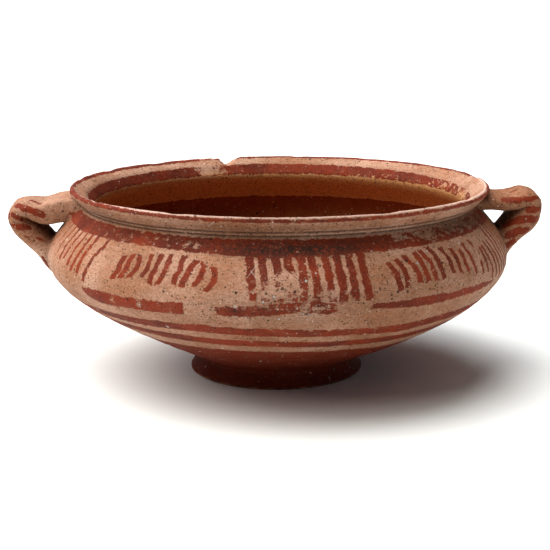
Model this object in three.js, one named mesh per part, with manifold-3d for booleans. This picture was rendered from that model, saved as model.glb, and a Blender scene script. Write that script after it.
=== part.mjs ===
// A wide fired-clay bowl with a turned-out rim, a rounded double-cone body, a ring foot and two strap handles.
// Millimetres, +Z up, handles along X, the side that is seen toward -Y.
// The origin is on the ground, halfway between the outer ends of the handles.

import * as THREE from 'three';
import { mergeVertices } from 'three/addons/utils/BufferGeometryUtils.js';
import Module from 'manifold-3d';

// Heights above the ground
const HEIGHT = 96.4;
const BELLY_HEIGHT = 61.5;
const FOOT_HEIGHT = 8.8;

// Outer diameters
const RIM_DIAMETER = 211;
const THROAT_DIAMETER = 196;
const BELLY_DIAMETER = 231.6;
const FOOT_DIAMETER = 89;
const FOOT_WAIST_DIAMETER = 80;

// Thicknesses of the clay
const WALL = 5.2;
const FLOOR = 7;
const LIP_THICKNESS = 3.4;

// The rim, from the lip down to the throat below it
const RIM_DEPTH = 9.8;
const LIP_EDGE_DROP = 1.9;
const RIM_SWELL = 0.5;
const FLARE_WIDTH = 4.9;
const FLARE_DROP = 3.8;
const GROOVE_WIDTH = 1.3;
const GROOVE_DEPTH = 0.5;
const GROOVE_DROPS = [6.9, 8.9];

// The ring foot and the hollow under the floor
const FOOT_RING_WIDTH = 7.4;
const FOOT_BEVEL = 1;
const FOOT_SWELL_SHARE = 0.55;
const FOOT_RECESS = 6.5;
const RECESS_DRAFT = 2.2;

// How far in from the lower wall the inside begins to round into the floor
const FLOOR_ROUNDING = 21;

// Shape of the lower wall and of the shoulder, as reaches of their curves
const CONE_ANGLE = 24.4;
const CONE_REACH = 36.9;
const BELLY_REACH_DOWN = 17.6;
const BELLY_REACH_UP = 9.6;

// The body isn't quite round about one line: how far each level leans to +X, as height and shift
const LEAN = [
  [0, -1.3],
  [24, 1.4],
  [60, -0.8],
  [96, 0.3],
];

// The rim isn't level: how much it rises toward +X and toward the front
const RIM_RISE_RIGHT = 0.4;
const RIM_RISE_FRONT = 1.1;

// Strap handles: width of the strap, how much it spreads at the wall and how late along its length,
// and how square its section is
const STRAP_WIDTH = 31;
const STRAP_SPREAD = 5;
const SPREAD_LATENESS = 4;
const STRAP_SQUARENESS = 2.5;

// Each handle as pressed on by hand: its outer end from the bowl's axis, and stations along its middle.
// A station gives how far out it lies, from the wall at 0 to the outer end at 1, its drop below the lip
// and the strap's thickness there. The left handle reaches further out and ends lower on the belly.
const LEFT_HANDLE = {
  side: -1,
  reach: 136.7,
  stations: [
    [-0.2, 11.4, 13.6],
    [0.24, 11.3, 14.6],
    [0.42, 13.2, 13.2],
    [0.6, 14.2, 10.8],
    [0.82, 12.9, 9.8],
    [0.96, 13.6, 10],
    [1, 17, 10.6],
    [0.9, 21, 11.4],
    [0.66, 25.3, 12],
    [0.2, 31.7, 12.2],
    [-0.14, 39.4, 11.6],
    [-0.26, 46.8, 9.6],
  ],
};
const RIGHT_HANDLE = {
  side: 1,
  reach: 132.5,
  stations: [
    [-0.22, 9.3, 9],
    [0.28, 8.9, 8.4],
    [0.5, 9.4, 9],
    [0.7, 8.6, 9.6],
    [0.86, 7.7, 10.4],
    [0.98, 10, 11.6],
    [0.94, 14.2, 13.4],
    [0.77, 18.8, 14.8],
    [0.48, 22.7, 13],
    [0.05, 27.4, 11.4],
    [-0.44, 33.4, 9],
  ],
};

// A wedge broken out of the rim at the back: its angle from +X, its outline as run and rise from the lip,
// and how far it reaches in from the rim and out past it
const CHIP_ANGLE = 107.7;
const CHIP_OUTLINE = [
  [11.6, 1],
  [11.6, 0],
  [2.9, -1.8],
  [0.4, -4.4],
  [-1.9, -4],
  [-8.7, 0],
  [-8.7, 1],
];
const CHIP_REACH_IN = 18;
const CHIP_REACH_OUT = 6;

// Fineness of the faceted surface, and how close two corners are that count as one
const TURNS = 72;
const CURVE_STEPS = 8;
const FLOOR_STEPS = 3;
const WALL_SAMPLES = 200;
const STRAP_STEPS = 26;
const STRAP_SIDES = 14;
const SAME_CORNER = 1e-4;

const CLAY = new THREE.MeshStandardMaterial({ color: 0xc08a66, roughness: 0.88, metalness: 0 });

const wasm = await Module();
wasm.setup();

const point = (r, z) => new THREE.Vector2(r, z);
const radians = THREE.MathUtils.degToRad;

// A closed geometry as a solid: shared corners merged and slivers without area dropped
function solidOf(geometry) {
  const bare = geometry.clone();
  bare.deleteAttribute('normal');
  bare.deleteAttribute('uv');
  const merged = mergeVertices(bare, SAME_CORNER);
  const index = merged.index.array;
  const triangles = [];
  for (let i = 0; i < index.length; i += 3) {
    const [a, b, c] = index.subarray(i, i + 3);
    if (a !== b && b !== c && c !== a) {
      triangles.push(a, b, c);
    }
  }
  return new wasm.Manifold(new wasm.Mesh({
    numProp: 3,
    vertProperties: new Float32Array(merged.attributes.position.array),
    triVerts: new Uint32Array(triangles),
  }));
}

function geometryOf(solid) {
  const mesh = solid.getMesh();
  const geometry = new THREE.BufferGeometry();
  geometry.setAttribute('position', new THREE.BufferAttribute(mesh.vertProperties, 3));
  geometry.setIndex(new THREE.BufferAttribute(mesh.triVerts, 1));
  geometry.computeVertexNormals();
  return geometry;
}

// How far the body leans to +X at one height, easing from level to level
function leanAt(z) {
  const last = LEAN.length - 1;
  if (z <= LEAN[0][0]) {
    return LEAN[0][1];
  }
  for (let i = 0; i < last; i += 1) {
    const [z0, x0] = LEAN[i];
    const [z1, x1] = LEAN[i + 1];
    if (z <= z1) {
      const t = (z - z0) / (z1 - z0);
      return THREE.MathUtils.lerp(x0, x1, t * t * (3 - 2 * t));
    }
  }
  return LEAN[last][1];
}

const throatHeight = HEIGHT - RIM_DEPTH;
const rimRadius = RIM_DIAMETER / 2;
const throatRadius = THROAT_DIAMETER / 2;
const bellyRadius = BELLY_DIAMETER / 2;
const footRadius = FOOT_DIAMETER / 2;
const waistRadius = FOOT_WAIST_DIAMETER / 2;

// Outer wall from the waist of the foot up to the belly: almost a cone, rounding into the belly
function coneCurve() {
  const angle = radians(CONE_ANGLE);
  return new THREE.CubicBezierCurve(
    point(waistRadius, FOOT_HEIGHT),
    point(waistRadius + CONE_REACH * Math.cos(angle), FOOT_HEIGHT + CONE_REACH * Math.sin(angle)),
    point(bellyRadius, BELLY_HEIGHT - BELLY_REACH_DOWN),
    point(bellyRadius, BELLY_HEIGHT),
  );
}

// Outer wall from the belly over the shoulder to the throat
function shoulderCurve() {
  return new THREE.QuadraticBezierCurve(
    point(bellyRadius, BELLY_HEIGHT),
    point(bellyRadius, BELLY_HEIGHT + BELLY_REACH_UP),
    point(throatRadius, throatHeight),
  );
}

// Underside of the turned-out rim, from the throat to the edge of the lip
function rimCurve() {
  return new THREE.LineCurve(
    point(throatRadius, throatHeight),
    point(rimRadius, HEIGHT - LIP_EDGE_DROP),
  );
}

// Depth of the two turned grooves at one distance below the lip
function grooveDepth(drop) {
  const depths = GROOVE_DROPS.map((at) => {
    const off = Math.abs(drop - at) / (GROOVE_WIDTH / 2);
    return off < 1 ? GROOVE_DEPTH * (1 - off) : 0;
  });
  return Math.max(...depths);
}

// Points of the rim's outer face from the throat up, pressed in where a groove runs and swelled between
function rimPoints() {
  const curve = rimCurve();
  const rise = curve.v2.y - curve.v1.y;
  const grooves = GROOVE_DROPS.flatMap((at) => [at + GROOVE_WIDTH / 2, at, at - GROOVE_WIDTH / 2]);
  const swellDrop = (Math.min(...grooves) + LIP_EDGE_DROP) / 2;
  const drops = [RIM_DEPTH, ...grooves, swellDrop, LIP_EDGE_DROP];
  const levels = drops.filter((drop) => drop <= RIM_DEPTH && drop >= LIP_EDGE_DROP);
  levels.sort((a, b) => b - a);
  return levels.map((drop) => {
    const t = (HEIGHT - drop - curve.v1.y) / rise;
    const onFace = curve.getPoint(THREE.MathUtils.clamp(t, 0, 1));
    const swell = RIM_SWELL * Math.sin(Math.PI * t);
    return point(onFace.x + swell - grooveDepth(drop), onFace.y);
  });
}

// The outer outline from the foot's bevel to the edge of the lip
function outerOutline() {
  const outline = [
    point(footRadius - FOOT_BEVEL, 0),
    point(footRadius, FOOT_BEVEL),
    point((footRadius + waistRadius) / 2, FOOT_HEIGHT * FOOT_SWELL_SHARE),
  ];
  outline.push(...coneCurve().getPoints(CURVE_STEPS));
  outline.push(...shoulderCurve().getPoints(CURVE_STEPS).slice(1));
  outline.push(...rimPoints().slice(1));
  return outline;
}

// A curve moved inward by a distance that eases from one value to another along it
function offsetInward(curve, from, to, steps) {
  const moved = [];
  for (let i = 0; i <= steps; i += 1) {
    const t = i / steps;
    const at = curve.getPoint(t);
    const along = curve.getTangent(t);
    const by = THREE.MathUtils.lerp(from, to, t);
    moved.push(point(at.x - along.y * by, at.y + along.x * by));
  }
  return moved;
}

// The wall's inner outline at a share of its thickness, from the axis on the floor up to the lip
function innerOutline(share) {
  const wall = WALL * share;
  const lip = LIP_THICKNESS * share;
  const floorTop = FOOT_RECESS + FLOOR * share;
  const cone = offsetInward(coneCurve(), wall, wall, CURVE_STEPS).filter((p) => p.y > floorTop + WALL);
  const shoulder = offsetInward(shoulderCurve(), wall, wall, CURVE_STEPS);
  const throat = point(throatRadius - wall, throatHeight);
  const flare = point(rimRadius - lip - FLARE_WIDTH, HEIGHT - FLARE_DROP);
  const lipEdge = point(rimRadius - lip, HEIGHT - LIP_EDGE_DROP / 2);
  const bend = new THREE.QuadraticBezierCurve(
    point(cone[0].x - FLOOR_ROUNDING, floorTop),
    point(cone[0].x - FLOOR_ROUNDING / 2, floorTop),
    cone[0],
  );
  return [
    point(0, floorTop),
    ...bend.getPoints(FLOOR_STEPS).slice(0, -1),
    ...cone,
    ...shoulder.filter((p) => p.y > cone[cone.length - 1].y && p.y < throat.y - wall / 2),
    throat,
    flare,
    lipEdge,
  ];
}

// The body of the bowl as one turned solid: underside, ring foot, wall, lip and inside
function bodySolid() {
  const ringInner = footRadius - FOOT_BEVEL - FOOT_RING_WIDTH;
  const inside = innerOutline(1).reverse();
  const lipEdge = inside[0];
  const lipTop = point((lipEdge.x + rimRadius) / 2, HEIGHT);
  const outline = [
    point(0, FOOT_RECESS),
    point(ringInner - RECESS_DRAFT, FOOT_RECESS),
    point(ringInner, 0),
    ...outerOutline(),
    lipTop,
    ...inside,
  ];
  return solidOf(turned(outline));
}

// How much of the rim's tilt one height takes: none at the belly, all of it at the lip
function tiltShare(z) {
  return THREE.MathUtils.smoothstep(z, BELLY_HEIGHT, HEIGHT);
}

// A turned geometry standing on Z whose levels lean, and whose rim is tilted
function turned(outline) {
  const geometry = new THREE.LatheGeometry(outline, TURNS);
  geometry.rotateX(Math.PI / 2);
  const position = geometry.attributes.position;
  for (let i = 0; i < position.count; i += 1) {
    const [x, y, z] = [position.getX(i), position.getY(i), position.getZ(i)];
    const rise = (RIM_RISE_RIGHT * x - RIM_RISE_FRONT * y) / rimRadius;
    position.setXYZ(i, x + leanAt(z), y, z + rise * tiltShare(z));
  }
  return geometry;
}

// Everything inside the middle of the wall, and the air above it: it trims the ends of the handles
function coreSolid() {
  const middle = innerOutline(1 / 2);
  const lipEdge = middle[middle.length - 1];
  const sky = HEIGHT + lipEdge.x;
  return solidOf(turned([...middle, point(lipEdge.x, sky), point(0, sky)]));
}

// Outer wall's radius at one height between the waist and the throat
function wallRadius(z) {
  const curve = z < BELLY_HEIGHT ? coneCurve() : shoulderCurve();
  const points = curve.getPoints(WALL_SAMPLES);
  const above = points.findIndex((p) => p.y >= z);
  return above < 0 ? throatRadius : points[above].x;
}

// Middle line of a strap in the plane through the axis: rim, saddle, crest, bend and down to its heel.
// The thickness rides along as the third value of each point.
function strapLine({ reach, stations }) {
  const outermost = Math.max(...stations.map(([share]) => share));
  const bend = stations.find(([share]) => share === outermost);
  const outer = reach - bend[2] / 2;
  return new THREE.CatmullRomCurve3(stations.map(([share, drop, thickness]) => {
    const z = HEIGHT - drop;
    return new THREE.Vector3(THREE.MathUtils.lerp(wallRadius(z), outer, share), thickness, z);
  }), false, 'centripetal');
}

// A superellipse: flatter than an ellipse, softer than a box
function strapSection(angle, halfThickness, halfWidth) {
  const power = 2 / STRAP_SQUARENESS;
  const c = Math.cos(angle);
  const s = Math.sin(angle);
  return [
    halfThickness * Math.sign(c) * Math.abs(c) ** power,
    halfWidth * Math.sign(s) * Math.abs(s) ** power,
  ];
}

// The largest separate body of a solid: flakes without volume, left where blocks meet, are dropped
function largestBody(solid) {
  const bodies = solid.decompose();
  return bodies.reduce((best, body) => (body.volume() > best.volume() ? body : best));
}

// Rings of corners that stand square to the strap's middle line, from the rim down to the heel
function strapRings(handle) {
  const line = strapLine(handle);
  const rings = [];
  for (let i = 0; i <= STRAP_STEPS; i += 1) {
    const t = i / STRAP_STEPS;
    const at = line.getPointAt(t);
    const along = line.getTangentAt(t);
    const slope = Math.hypot(along.x, along.z);
    const halfWidth = (STRAP_WIDTH + STRAP_SPREAD * Math.abs(2 * t - 1) ** SPREAD_LATENESS) / 2;
    const ring = [];
    for (let k = 0; k < STRAP_SIDES; k += 1) {
      const [out, across] = strapSection((2 * Math.PI * k) / STRAP_SIDES, at.y / 2, halfWidth);
      const x = at.x - (along.z / slope) * out;
      ring.push([handle.side * x + leanAt(throatHeight), across, at.z + (along.x / slope) * out]);
    }
    rings.push(ring);
  }
  return rings;
}

// One strap handle: a chain of short blocks, each from one ring to the next, trimmed inside the wall
function handleSolid(handle) {
  const rings = strapRings(handle);
  const blocks = rings.slice(1).map((ring, i) => wasm.Manifold.hull([...rings[i], ...ring]));
  return largestBody(wasm.Manifold.union(blocks)).subtract(coreSolid());
}

// The wedge that is missing from the rim at the back
function chipSolid() {
  const outline = new THREE.Shape(CHIP_OUTLINE.map(([run, depth]) => point(run, depth)));
  const reach = CHIP_REACH_IN + CHIP_REACH_OUT;
  const geometry = new THREE.ExtrudeGeometry(outline, { depth: reach, bevelEnabled: false });
  geometry.rotateX(Math.PI / 2);
  geometry.translate(0, rimRadius + CHIP_REACH_OUT, HEIGHT);
  geometry.rotateZ(radians(CHIP_ANGLE) - Math.PI / 2);
  geometry.translate(leanAt(HEIGHT), 0, 0);
  return solidOf(geometry);
}

function bowlMesh() {
  const whole = bodySolid()
    .add(handleSolid(LEFT_HANDLE))
    .add(handleSolid(RIGHT_HANDLE))
    .subtract(chipSolid());
  const mesh = new THREE.Mesh(geometryOf(largestBody(whole)), CLAY);
  mesh.name = 'bowl';
  return mesh;
}

// The axis stands off the origin, so that the origin is midway between the handles' outer ends
const part = new THREE.Group();
const axis = new THREE.Group();
axis.position.x = (LEFT_HANDLE.reach - RIGHT_HANDLE.reach) / 2 - leanAt(throatHeight);
axis.add(bowlMesh());
part.add(axis);

export default part;
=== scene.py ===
"""A painted bowl of fired clay with two strap handles, standing on a pale floor."""

import logging
import math
from dataclasses import dataclass, field
from enum import Enum
from typing import Callable, Sequence

import bmesh
import bpy
import numpy as np
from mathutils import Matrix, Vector, noise
from mathutils.kdtree import KDTree


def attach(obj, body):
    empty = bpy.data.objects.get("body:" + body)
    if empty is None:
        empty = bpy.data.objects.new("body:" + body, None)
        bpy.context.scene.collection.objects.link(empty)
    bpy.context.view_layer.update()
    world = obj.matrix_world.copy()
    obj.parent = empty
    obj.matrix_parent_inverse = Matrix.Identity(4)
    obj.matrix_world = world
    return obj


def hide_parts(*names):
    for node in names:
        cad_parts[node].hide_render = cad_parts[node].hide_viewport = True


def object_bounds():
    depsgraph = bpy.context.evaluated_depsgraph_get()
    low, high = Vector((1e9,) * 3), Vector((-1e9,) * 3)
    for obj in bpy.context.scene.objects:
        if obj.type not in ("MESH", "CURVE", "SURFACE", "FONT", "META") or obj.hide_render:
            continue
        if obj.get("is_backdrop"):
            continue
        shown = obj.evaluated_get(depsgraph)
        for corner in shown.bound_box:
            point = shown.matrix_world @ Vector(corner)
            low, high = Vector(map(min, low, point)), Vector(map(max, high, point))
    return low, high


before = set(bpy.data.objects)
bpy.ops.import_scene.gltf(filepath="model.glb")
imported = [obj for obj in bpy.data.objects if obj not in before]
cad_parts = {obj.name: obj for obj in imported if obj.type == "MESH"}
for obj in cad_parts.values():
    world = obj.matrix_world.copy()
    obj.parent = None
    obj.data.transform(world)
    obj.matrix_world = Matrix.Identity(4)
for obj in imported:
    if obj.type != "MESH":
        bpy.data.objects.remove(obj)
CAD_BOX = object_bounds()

Array = np.ndarray
Colour = tuple[float, float, float]

MM = 0.001
# Vector noise starts from the clock unless it is seeded
HAND_SEED = 7
LOG = logging.getLogger("bowl")


def smoothstep(low: float, high: float, value: Array) -> Array:
    """Ease from 0 at low to 1 at high.

    Args:
        low: Where the step starts.
        high: Where the step ends.
        value: Numbers to ease.

    Returns:
        Shares from 0 to 1.
    """
    t = np.clip((np.asarray(value, float) - low) / (high - low), 0.0, 1.0)
    return t * t * (3.0 - 2.0 * t)


def srgb(red: int, green: int, blue: int) -> Colour:
    """Turn a colour of 0 to 255 as seen on a screen into linear shares.

    Args:
        red: Red part.
        green: Green part.
        blue: Blue part.

    Returns:
        Linear red, green and blue.
    """
    def linear(value: int) -> float:
        share = value / 255.0
        return share / 12.92 if share <= 0.04045 else ((share + 0.055) / 1.055) ** 2.4
    return linear(red), linear(green), linear(blue)


@dataclass(frozen=True)
class BodySizes:
    """Driving sizes of the turned body, in millimetres."""

    height: float = 96.4
    belly_height: float = 61.5
    foot_height: float = 8.8
    rim_diameter: float = 211.0
    throat_diameter: float = 196.0
    belly_diameter: float = 231.6
    foot_diameter: float = 89.0
    foot_waist_diameter: float = 80.0
    wall: float = 5.2
    floor: float = 7.0
    lip_thickness: float = 3.4
    rim_depth: float = 9.8
    lip_edge_drop: float = 1.9
    rim_swell: float = 0.5
    flare_width: float = 4.9
    flare_drop: float = 3.8
    groove_width: float = 1.3
    groove_depth: float = 0.55
    groove_drops: tuple[float, ...] = (8.1, 9.8)
    foot_ring_width: float = 7.4
    foot_bevel: float = 1.0
    foot_swell_share: float = 0.55
    foot_recess: float = 6.5
    recess_draft: float = 2.2
    floor_rounding: float = 21.0
    cone_angle: float = 24.4
    cone_reach: float = 36.9
    belly_reach_down: float = 17.6
    belly_reach_up: float = 9.6
    lean: tuple[tuple[float, float], ...] = ((0.0, -1.3), (24.0, 1.4), (60.0, -0.8), (96.0, 0.3))
    rim_rise_right: float = 0.4
    rim_rise_front: float = 1.1

    @property
    def throat_height(self) -> float:
        """Height of the narrowest place under the rim."""
        return self.height - self.rim_depth


@dataclass(frozen=True)
class HandleSizes:
    """One strap handle as pressed on by hand, in millimetres.

    A station gives how far out it lies, from the wall at 0 to the outer end at 1, its drop
    below the lip and the strap's thickness there.
    """

    name: str
    side: int
    reach: float
    stations: tuple[tuple[float, float, float], ...]
    root_squareness: float
    width: float = 31.0
    spread: float = 5.0
    spread_lateness: float = 4.0
    squareness: float = 2.5


LEFT_HANDLE = HandleSizes("left", -1, 136.7, (
    (-0.2, 11.7, 13.0), (0.24, 12.5, 12.2), (0.42, 14.0, 11.8), (0.6, 14.2, 10.8), (0.82, 12.9, 9.8),
    (0.96, 13.6, 10.0), (1.0, 17.0, 10.6), (0.9, 21.0, 11.4), (0.66, 25.3, 12.0), (0.2, 31.7, 12.2),
    (-0.14, 39.4, 11.6), (-0.26, 46.8, 9.6),
), 7.0)
RIGHT_HANDLE = HandleSizes("right", 1, 132.5, (
    (-0.22, 9.3, 9.0), (0.28, 8.9, 8.4), (0.5, 9.4, 9.0), (0.7, 8.6, 9.6), (0.86, 7.7, 10.4),
    (0.98, 10.0, 11.6), (0.94, 14.2, 13.4), (0.77, 18.8, 14.8), (0.48, 22.7, 13.0), (0.05, 27.4, 11.4),
    (-0.44, 33.4, 9.0),
), 2.5)


class Zone(Enum):
    """A stretch of the outline, with the spacing of its rows in millimetres."""

    UNDERSIDE = 3.2
    FOOT = 1.0
    LOWER_WALL = 2.0
    UPPER_WALL = 1.4
    RIM = 0.5
    FLARE = 0.9
    INSIDE = 2.7


class Outline:
    """The closed outline of the turned body as radius and height, with its path length."""

    def __init__(self, sizes: BodySizes) -> None:
        self.sizes = sizes
        corners, zones = self._corners()
        self._dense, self._zones = self._smoothed(corners, zones)
        steps = np.hypot(*np.diff(self._dense, axis=0).T)
        self._path = np.concatenate([[0.0], np.cumsum(steps)])
        top = int(np.argmax(self._dense[:, 1]))
        self.lip_path = float(self._path[top])
        self._top = top

    def _cone(self, t: Array) -> Array:
        """Outer wall from the waist of the foot up to the belly.

        Args:
            t: Shares along the curve.

        Returns:
            Radius and height of each point.
        """
        s = self.sizes
        angle = math.radians(s.cone_angle)
        waist, belly = s.foot_waist_diameter / 2, s.belly_diameter / 2
        points = np.array([
            [waist, s.foot_height],
            [waist + s.cone_reach * math.cos(angle), s.foot_height + s.cone_reach * math.sin(angle)],
            [belly, s.belly_height - s.belly_reach_down],
            [belly, s.belly_height],
        ])
        u = 1 - t
        weights = np.stack([u ** 3, 3 * u * u * t, 3 * u * t * t, t ** 3], axis=1)
        return weights @ points

    def _shoulder(self, t: Array) -> Array:
        """Outer wall from the belly up to the throat.

        Args:
            t: Shares along the curve.

        Returns:
            Radius and height of each point.
        """
        s = self.sizes
        belly, throat = s.belly_diameter / 2, s.throat_diameter / 2
        points = np.array([
            [belly, s.belly_height], [belly, s.belly_height + s.belly_reach_up], [throat, s.throat_height],
        ])
        u = 1 - t
        return np.stack([u * u, 2 * u * t, t * t], axis=1) @ points

    @staticmethod
    def _inward(points: Array, distance: float) -> Array:
        """Move a curve that runs upward to its left, into the clay.

        Args:
            points: Radius and height along the curve.
            distance: How far to move it.

        Returns:
            The moved points.
        """
        along = np.gradient(points, axis=0)
        along /= np.linalg.norm(along, axis=1)[:, None]
        return points + distance * np.stack([-along[:, 1], along[:, 0]], axis=1)

    def _corners(self) -> tuple[Array, list[Zone]]:
        """Outline points from the underside's centre round to the floor's centre inside.

        Returns:
            The points, and the zone of each.
        """
        s = self.sizes
        foot, waist = s.foot_diameter / 2, s.foot_waist_diameter / 2
        rim, throat = s.rim_diameter / 2, s.throat_diameter / 2
        ring = foot - s.foot_bevel - s.foot_ring_width
        t = np.linspace(0, 1, 90)
        cone, shoulder = self._cone(t), self._shoulder(t)
        inner = self._inward(np.concatenate([cone, shoulder[1:]]), s.wall)
        floor_top = s.foot_recess + s.floor
        inner = inner[(inner[:, 1] > floor_top + s.wall) & (inner[:, 1] < s.throat_height - s.wall / 2)]
        start = inner[0]
        u = np.linspace(0, 1, 24)[:-1, None]
        bend = ((1 - u) ** 2 * [start[0] - s.floor_rounding, floor_top]
                + 2 * u * (1 - u) * [start[0] - s.floor_rounding / 2, floor_top] + u * u * start)
        lip_edge = [rim - s.lip_thickness, s.height - s.lip_edge_drop / 2]
        pieces: list[tuple[Sequence, Zone]] = [
            ([[0, s.foot_recess], [ring - s.recess_draft, s.foot_recess]], Zone.UNDERSIDE),
            ([[ring, 0], [foot - s.foot_bevel, 0], [foot, s.foot_bevel],
              [(foot + waist) / 2, s.foot_height * s.foot_swell_share]], Zone.FOOT),
            (cone[cone[:, 1] < 30], Zone.LOWER_WALL),
            (cone[cone[:, 1] >= 30], Zone.UPPER_WALL),
            (shoulder[1:], Zone.UPPER_WALL),
            ([[rim, s.height - s.lip_edge_drop],
              [(lip_edge[0] + rim) / 2, s.height], lip_edge], Zone.RIM),
            ([[rim - s.lip_thickness - s.flare_width, s.height - s.flare_drop],
              [throat - s.wall, s.throat_height]], Zone.FLARE),
            (inner[::-1], Zone.INSIDE),
            (bend[::-1], Zone.INSIDE),
            ([[0, floor_top]], Zone.INSIDE),
        ]
        points = np.concatenate([np.asarray(p, float).reshape(-1, 2) for p, _ in pieces])
        zones = [zone for p, zone in pieces for _ in range(len(p))]
        return points, zones

    @staticmethod
    def _smoothed(corners: Array, zones: list[Zone], fine: float = 0.2, blur: float = 0.75) -> tuple[Array, list[Zone]]:
        """Sample the outline finely and round its corners, as wet clay is rounded.

        Args:
            corners: Outline points.
            zones: Zone of each point.
            fine: Spacing of the samples.
            blur: How far the corners are rounded.

        Returns:
            Fine points and the zone of each.
        """
        path = np.concatenate([[0.0], np.cumsum(np.hypot(*np.diff(corners, axis=0).T))])
        at = np.arange(0, path[-1] + fine / 2, fine)
        dense = np.stack([np.interp(at, path, corners[:, i]) for i in (0, 1)], axis=1)
        reach = int(4 * blur / fine)
        kernel = np.exp(-0.5 * (np.arange(-reach, reach + 1) * fine / blur) ** 2)
        kernel /= kernel.sum()
        mirrored = dense * [-1, 1]
        padded = np.concatenate([mirrored[reach:0:-1], dense, mirrored[-2:-reach - 2:-1]])
        soft = np.stack([np.convolve(padded[:, i], kernel, "valid") for i in (0, 1)], axis=1)
        soft[0, 0] = soft[-1, 0] = 0.0
        index = np.clip(np.searchsorted(path, at + 1e-6, "left"), 0, len(zones) - 1)
        return soft, [zones[i] for i in index]

    def rows(self) -> Array:
        """Path lengths of the mesh rows, closer together where the surface is finer.

        Returns:
            Path length of each row, from the underside's centre to the floor's centre.
        """
        spacing = np.array([zone.value for zone in self._zones])
        reach = 25
        spacing = np.convolve(np.pad(spacing, reach, mode="edge"), np.ones(2 * reach + 1) / (2 * reach + 1), "valid")
        count = np.concatenate([[0.0], np.cumsum(np.diff(self._path) / spacing[1:])])
        return np.interp(np.linspace(0, count[-1], int(round(count[-1])) + 1), count, self._path)

    def at(self, path: Array) -> Array:
        """Radius and height at path lengths."""
        return np.stack([np.interp(path, self._path, self._dense[:, i]) for i in (0, 1)], axis=-1)

    def normal(self, path: Array) -> Array:
        """Unit vectors in radius and height that point out of the clay at path lengths."""
        along = self.at(np.asarray(path) + 0.4) - self.at(np.asarray(path) - 0.4)
        along /= np.maximum(np.linalg.norm(along, axis=-1, keepdims=True), 1e-9)
        return np.stack([along[..., 1], -along[..., 0]], axis=-1)

    def outer_path(self, height: float) -> float:
        """Path length where the outer surface passes one height above the foot."""
        start = int(np.argmax(self._dense[:, 0] > self.sizes.foot_diameter / 2 - self.sizes.foot_bevel))
        return float(np.interp(height, self._dense[start:self._top, 1], self._path[start:self._top]))

    def outer_paths(self, heights: Array) -> Array:
        """Path lengths where the outer surface passes heights, going on past the lip."""
        start = int(np.argmax(self._dense[:, 0] > self.sizes.foot_diameter / 2 - self.sizes.foot_bevel))
        found = np.interp(heights, self._dense[start:self._top, 1], self._path[start:self._top])
        return found + np.maximum(heights - self.sizes.height, 0.0)

    def inner_paths(self, heights: Array) -> Array:
        """Path lengths where the inner surface passes heights, going on past lip and floor."""
        inside = slice(len(self._dense) - 1, self._top, -1)
        found = np.interp(heights, self._dense[inside, 1], self._path[inside])
        floor = self.sizes.foot_recess + self.sizes.floor
        return found - np.maximum(heights - self.sizes.height, 0.0) + np.where(heights < floor, 99.0, 0.0)

    def inner_path(self, height: float) -> float:
        """Path length where the inner surface passes one height."""
        inside = slice(len(self._dense) - 1, self._top, -1)
        return float(np.interp(height, self._dense[inside, 1], self._path[inside]))

    def outer_radius(self, height: Array) -> Array:
        """Outer radius at heights above the foot."""
        start = int(np.argmax(self._dense[:, 0] > self.sizes.foot_diameter / 2 - self.sizes.foot_bevel))
        return np.interp(height, self._dense[start:self._top, 1], self._dense[start:self._top, 0])

    def nearest(self, radius: Array, height: Array) -> tuple[Array, Array]:
        """Nearest place on the outline for points given by radius and height.

        Args:
            radius: Radii in millimetres.
            height: Heights in millimetres.

        Returns:
            Path length of the nearest place, and the distance to it.
        """
        tree = KDTree(len(self._dense))
        for i, (r, z) in enumerate(self._dense):
            tree.insert((r, z, 0.0), i)
        tree.balance()
        found = [tree.find((r, z, 0.0)) for r, z in zip(radius, height)]
        index = np.array([f[1] for f in found])
        return self._path[index], np.array([f[2] for f in found])


class Warp:
    """The hand-made unevenness of the turned body: leaning levels and a tilted rim."""

    def __init__(self, sizes: BodySizes, axis_x: float) -> None:
        self.sizes = sizes
        self.axis_x = axis_x

    def lean(self, height: Array) -> Array:
        """How far each height leans to +X, in millimetres."""
        levels = self.sizes.lean
        height = np.asarray(height, float)
        out = np.full(height.shape, levels[0][1])
        for (z0, x0), (z1, x1) in zip(levels, levels[1:]):
            out = np.where(height > z0, x0 + (x1 - x0) * smoothstep(z0, z1, height), out)
        return out

    def rise(self, x: Array, y: Array, height: Array) -> Array:
        """How far the tilt of the rim lifts each point, in millimetres."""
        s = self.sizes
        slope = (s.rim_rise_right * x - s.rim_rise_front * y) / (s.rim_diameter / 2)
        return slope * smoothstep(s.belly_height, s.height, height)

    def apply(self, points: Array) -> Array:
        """Move points of the true round body to where the real wall stands."""
        x, y, z = points.T
        return np.stack([x + self.lean(z) + self.axis_x, y, z + self.rise(x, y, z)], axis=1)

    def undo(self, points: Array) -> Array:
        """Move points of the real wall back onto the true round body."""
        x, y, z = points[:, 0] - self.axis_x, points[:, 1], points[:, 2]
        level = z.copy()
        for _ in range(3):
            level = z - self.rise(x - self.lean(level), y, level)
        return np.stack([x - self.lean(level), y, level], axis=1)


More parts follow.
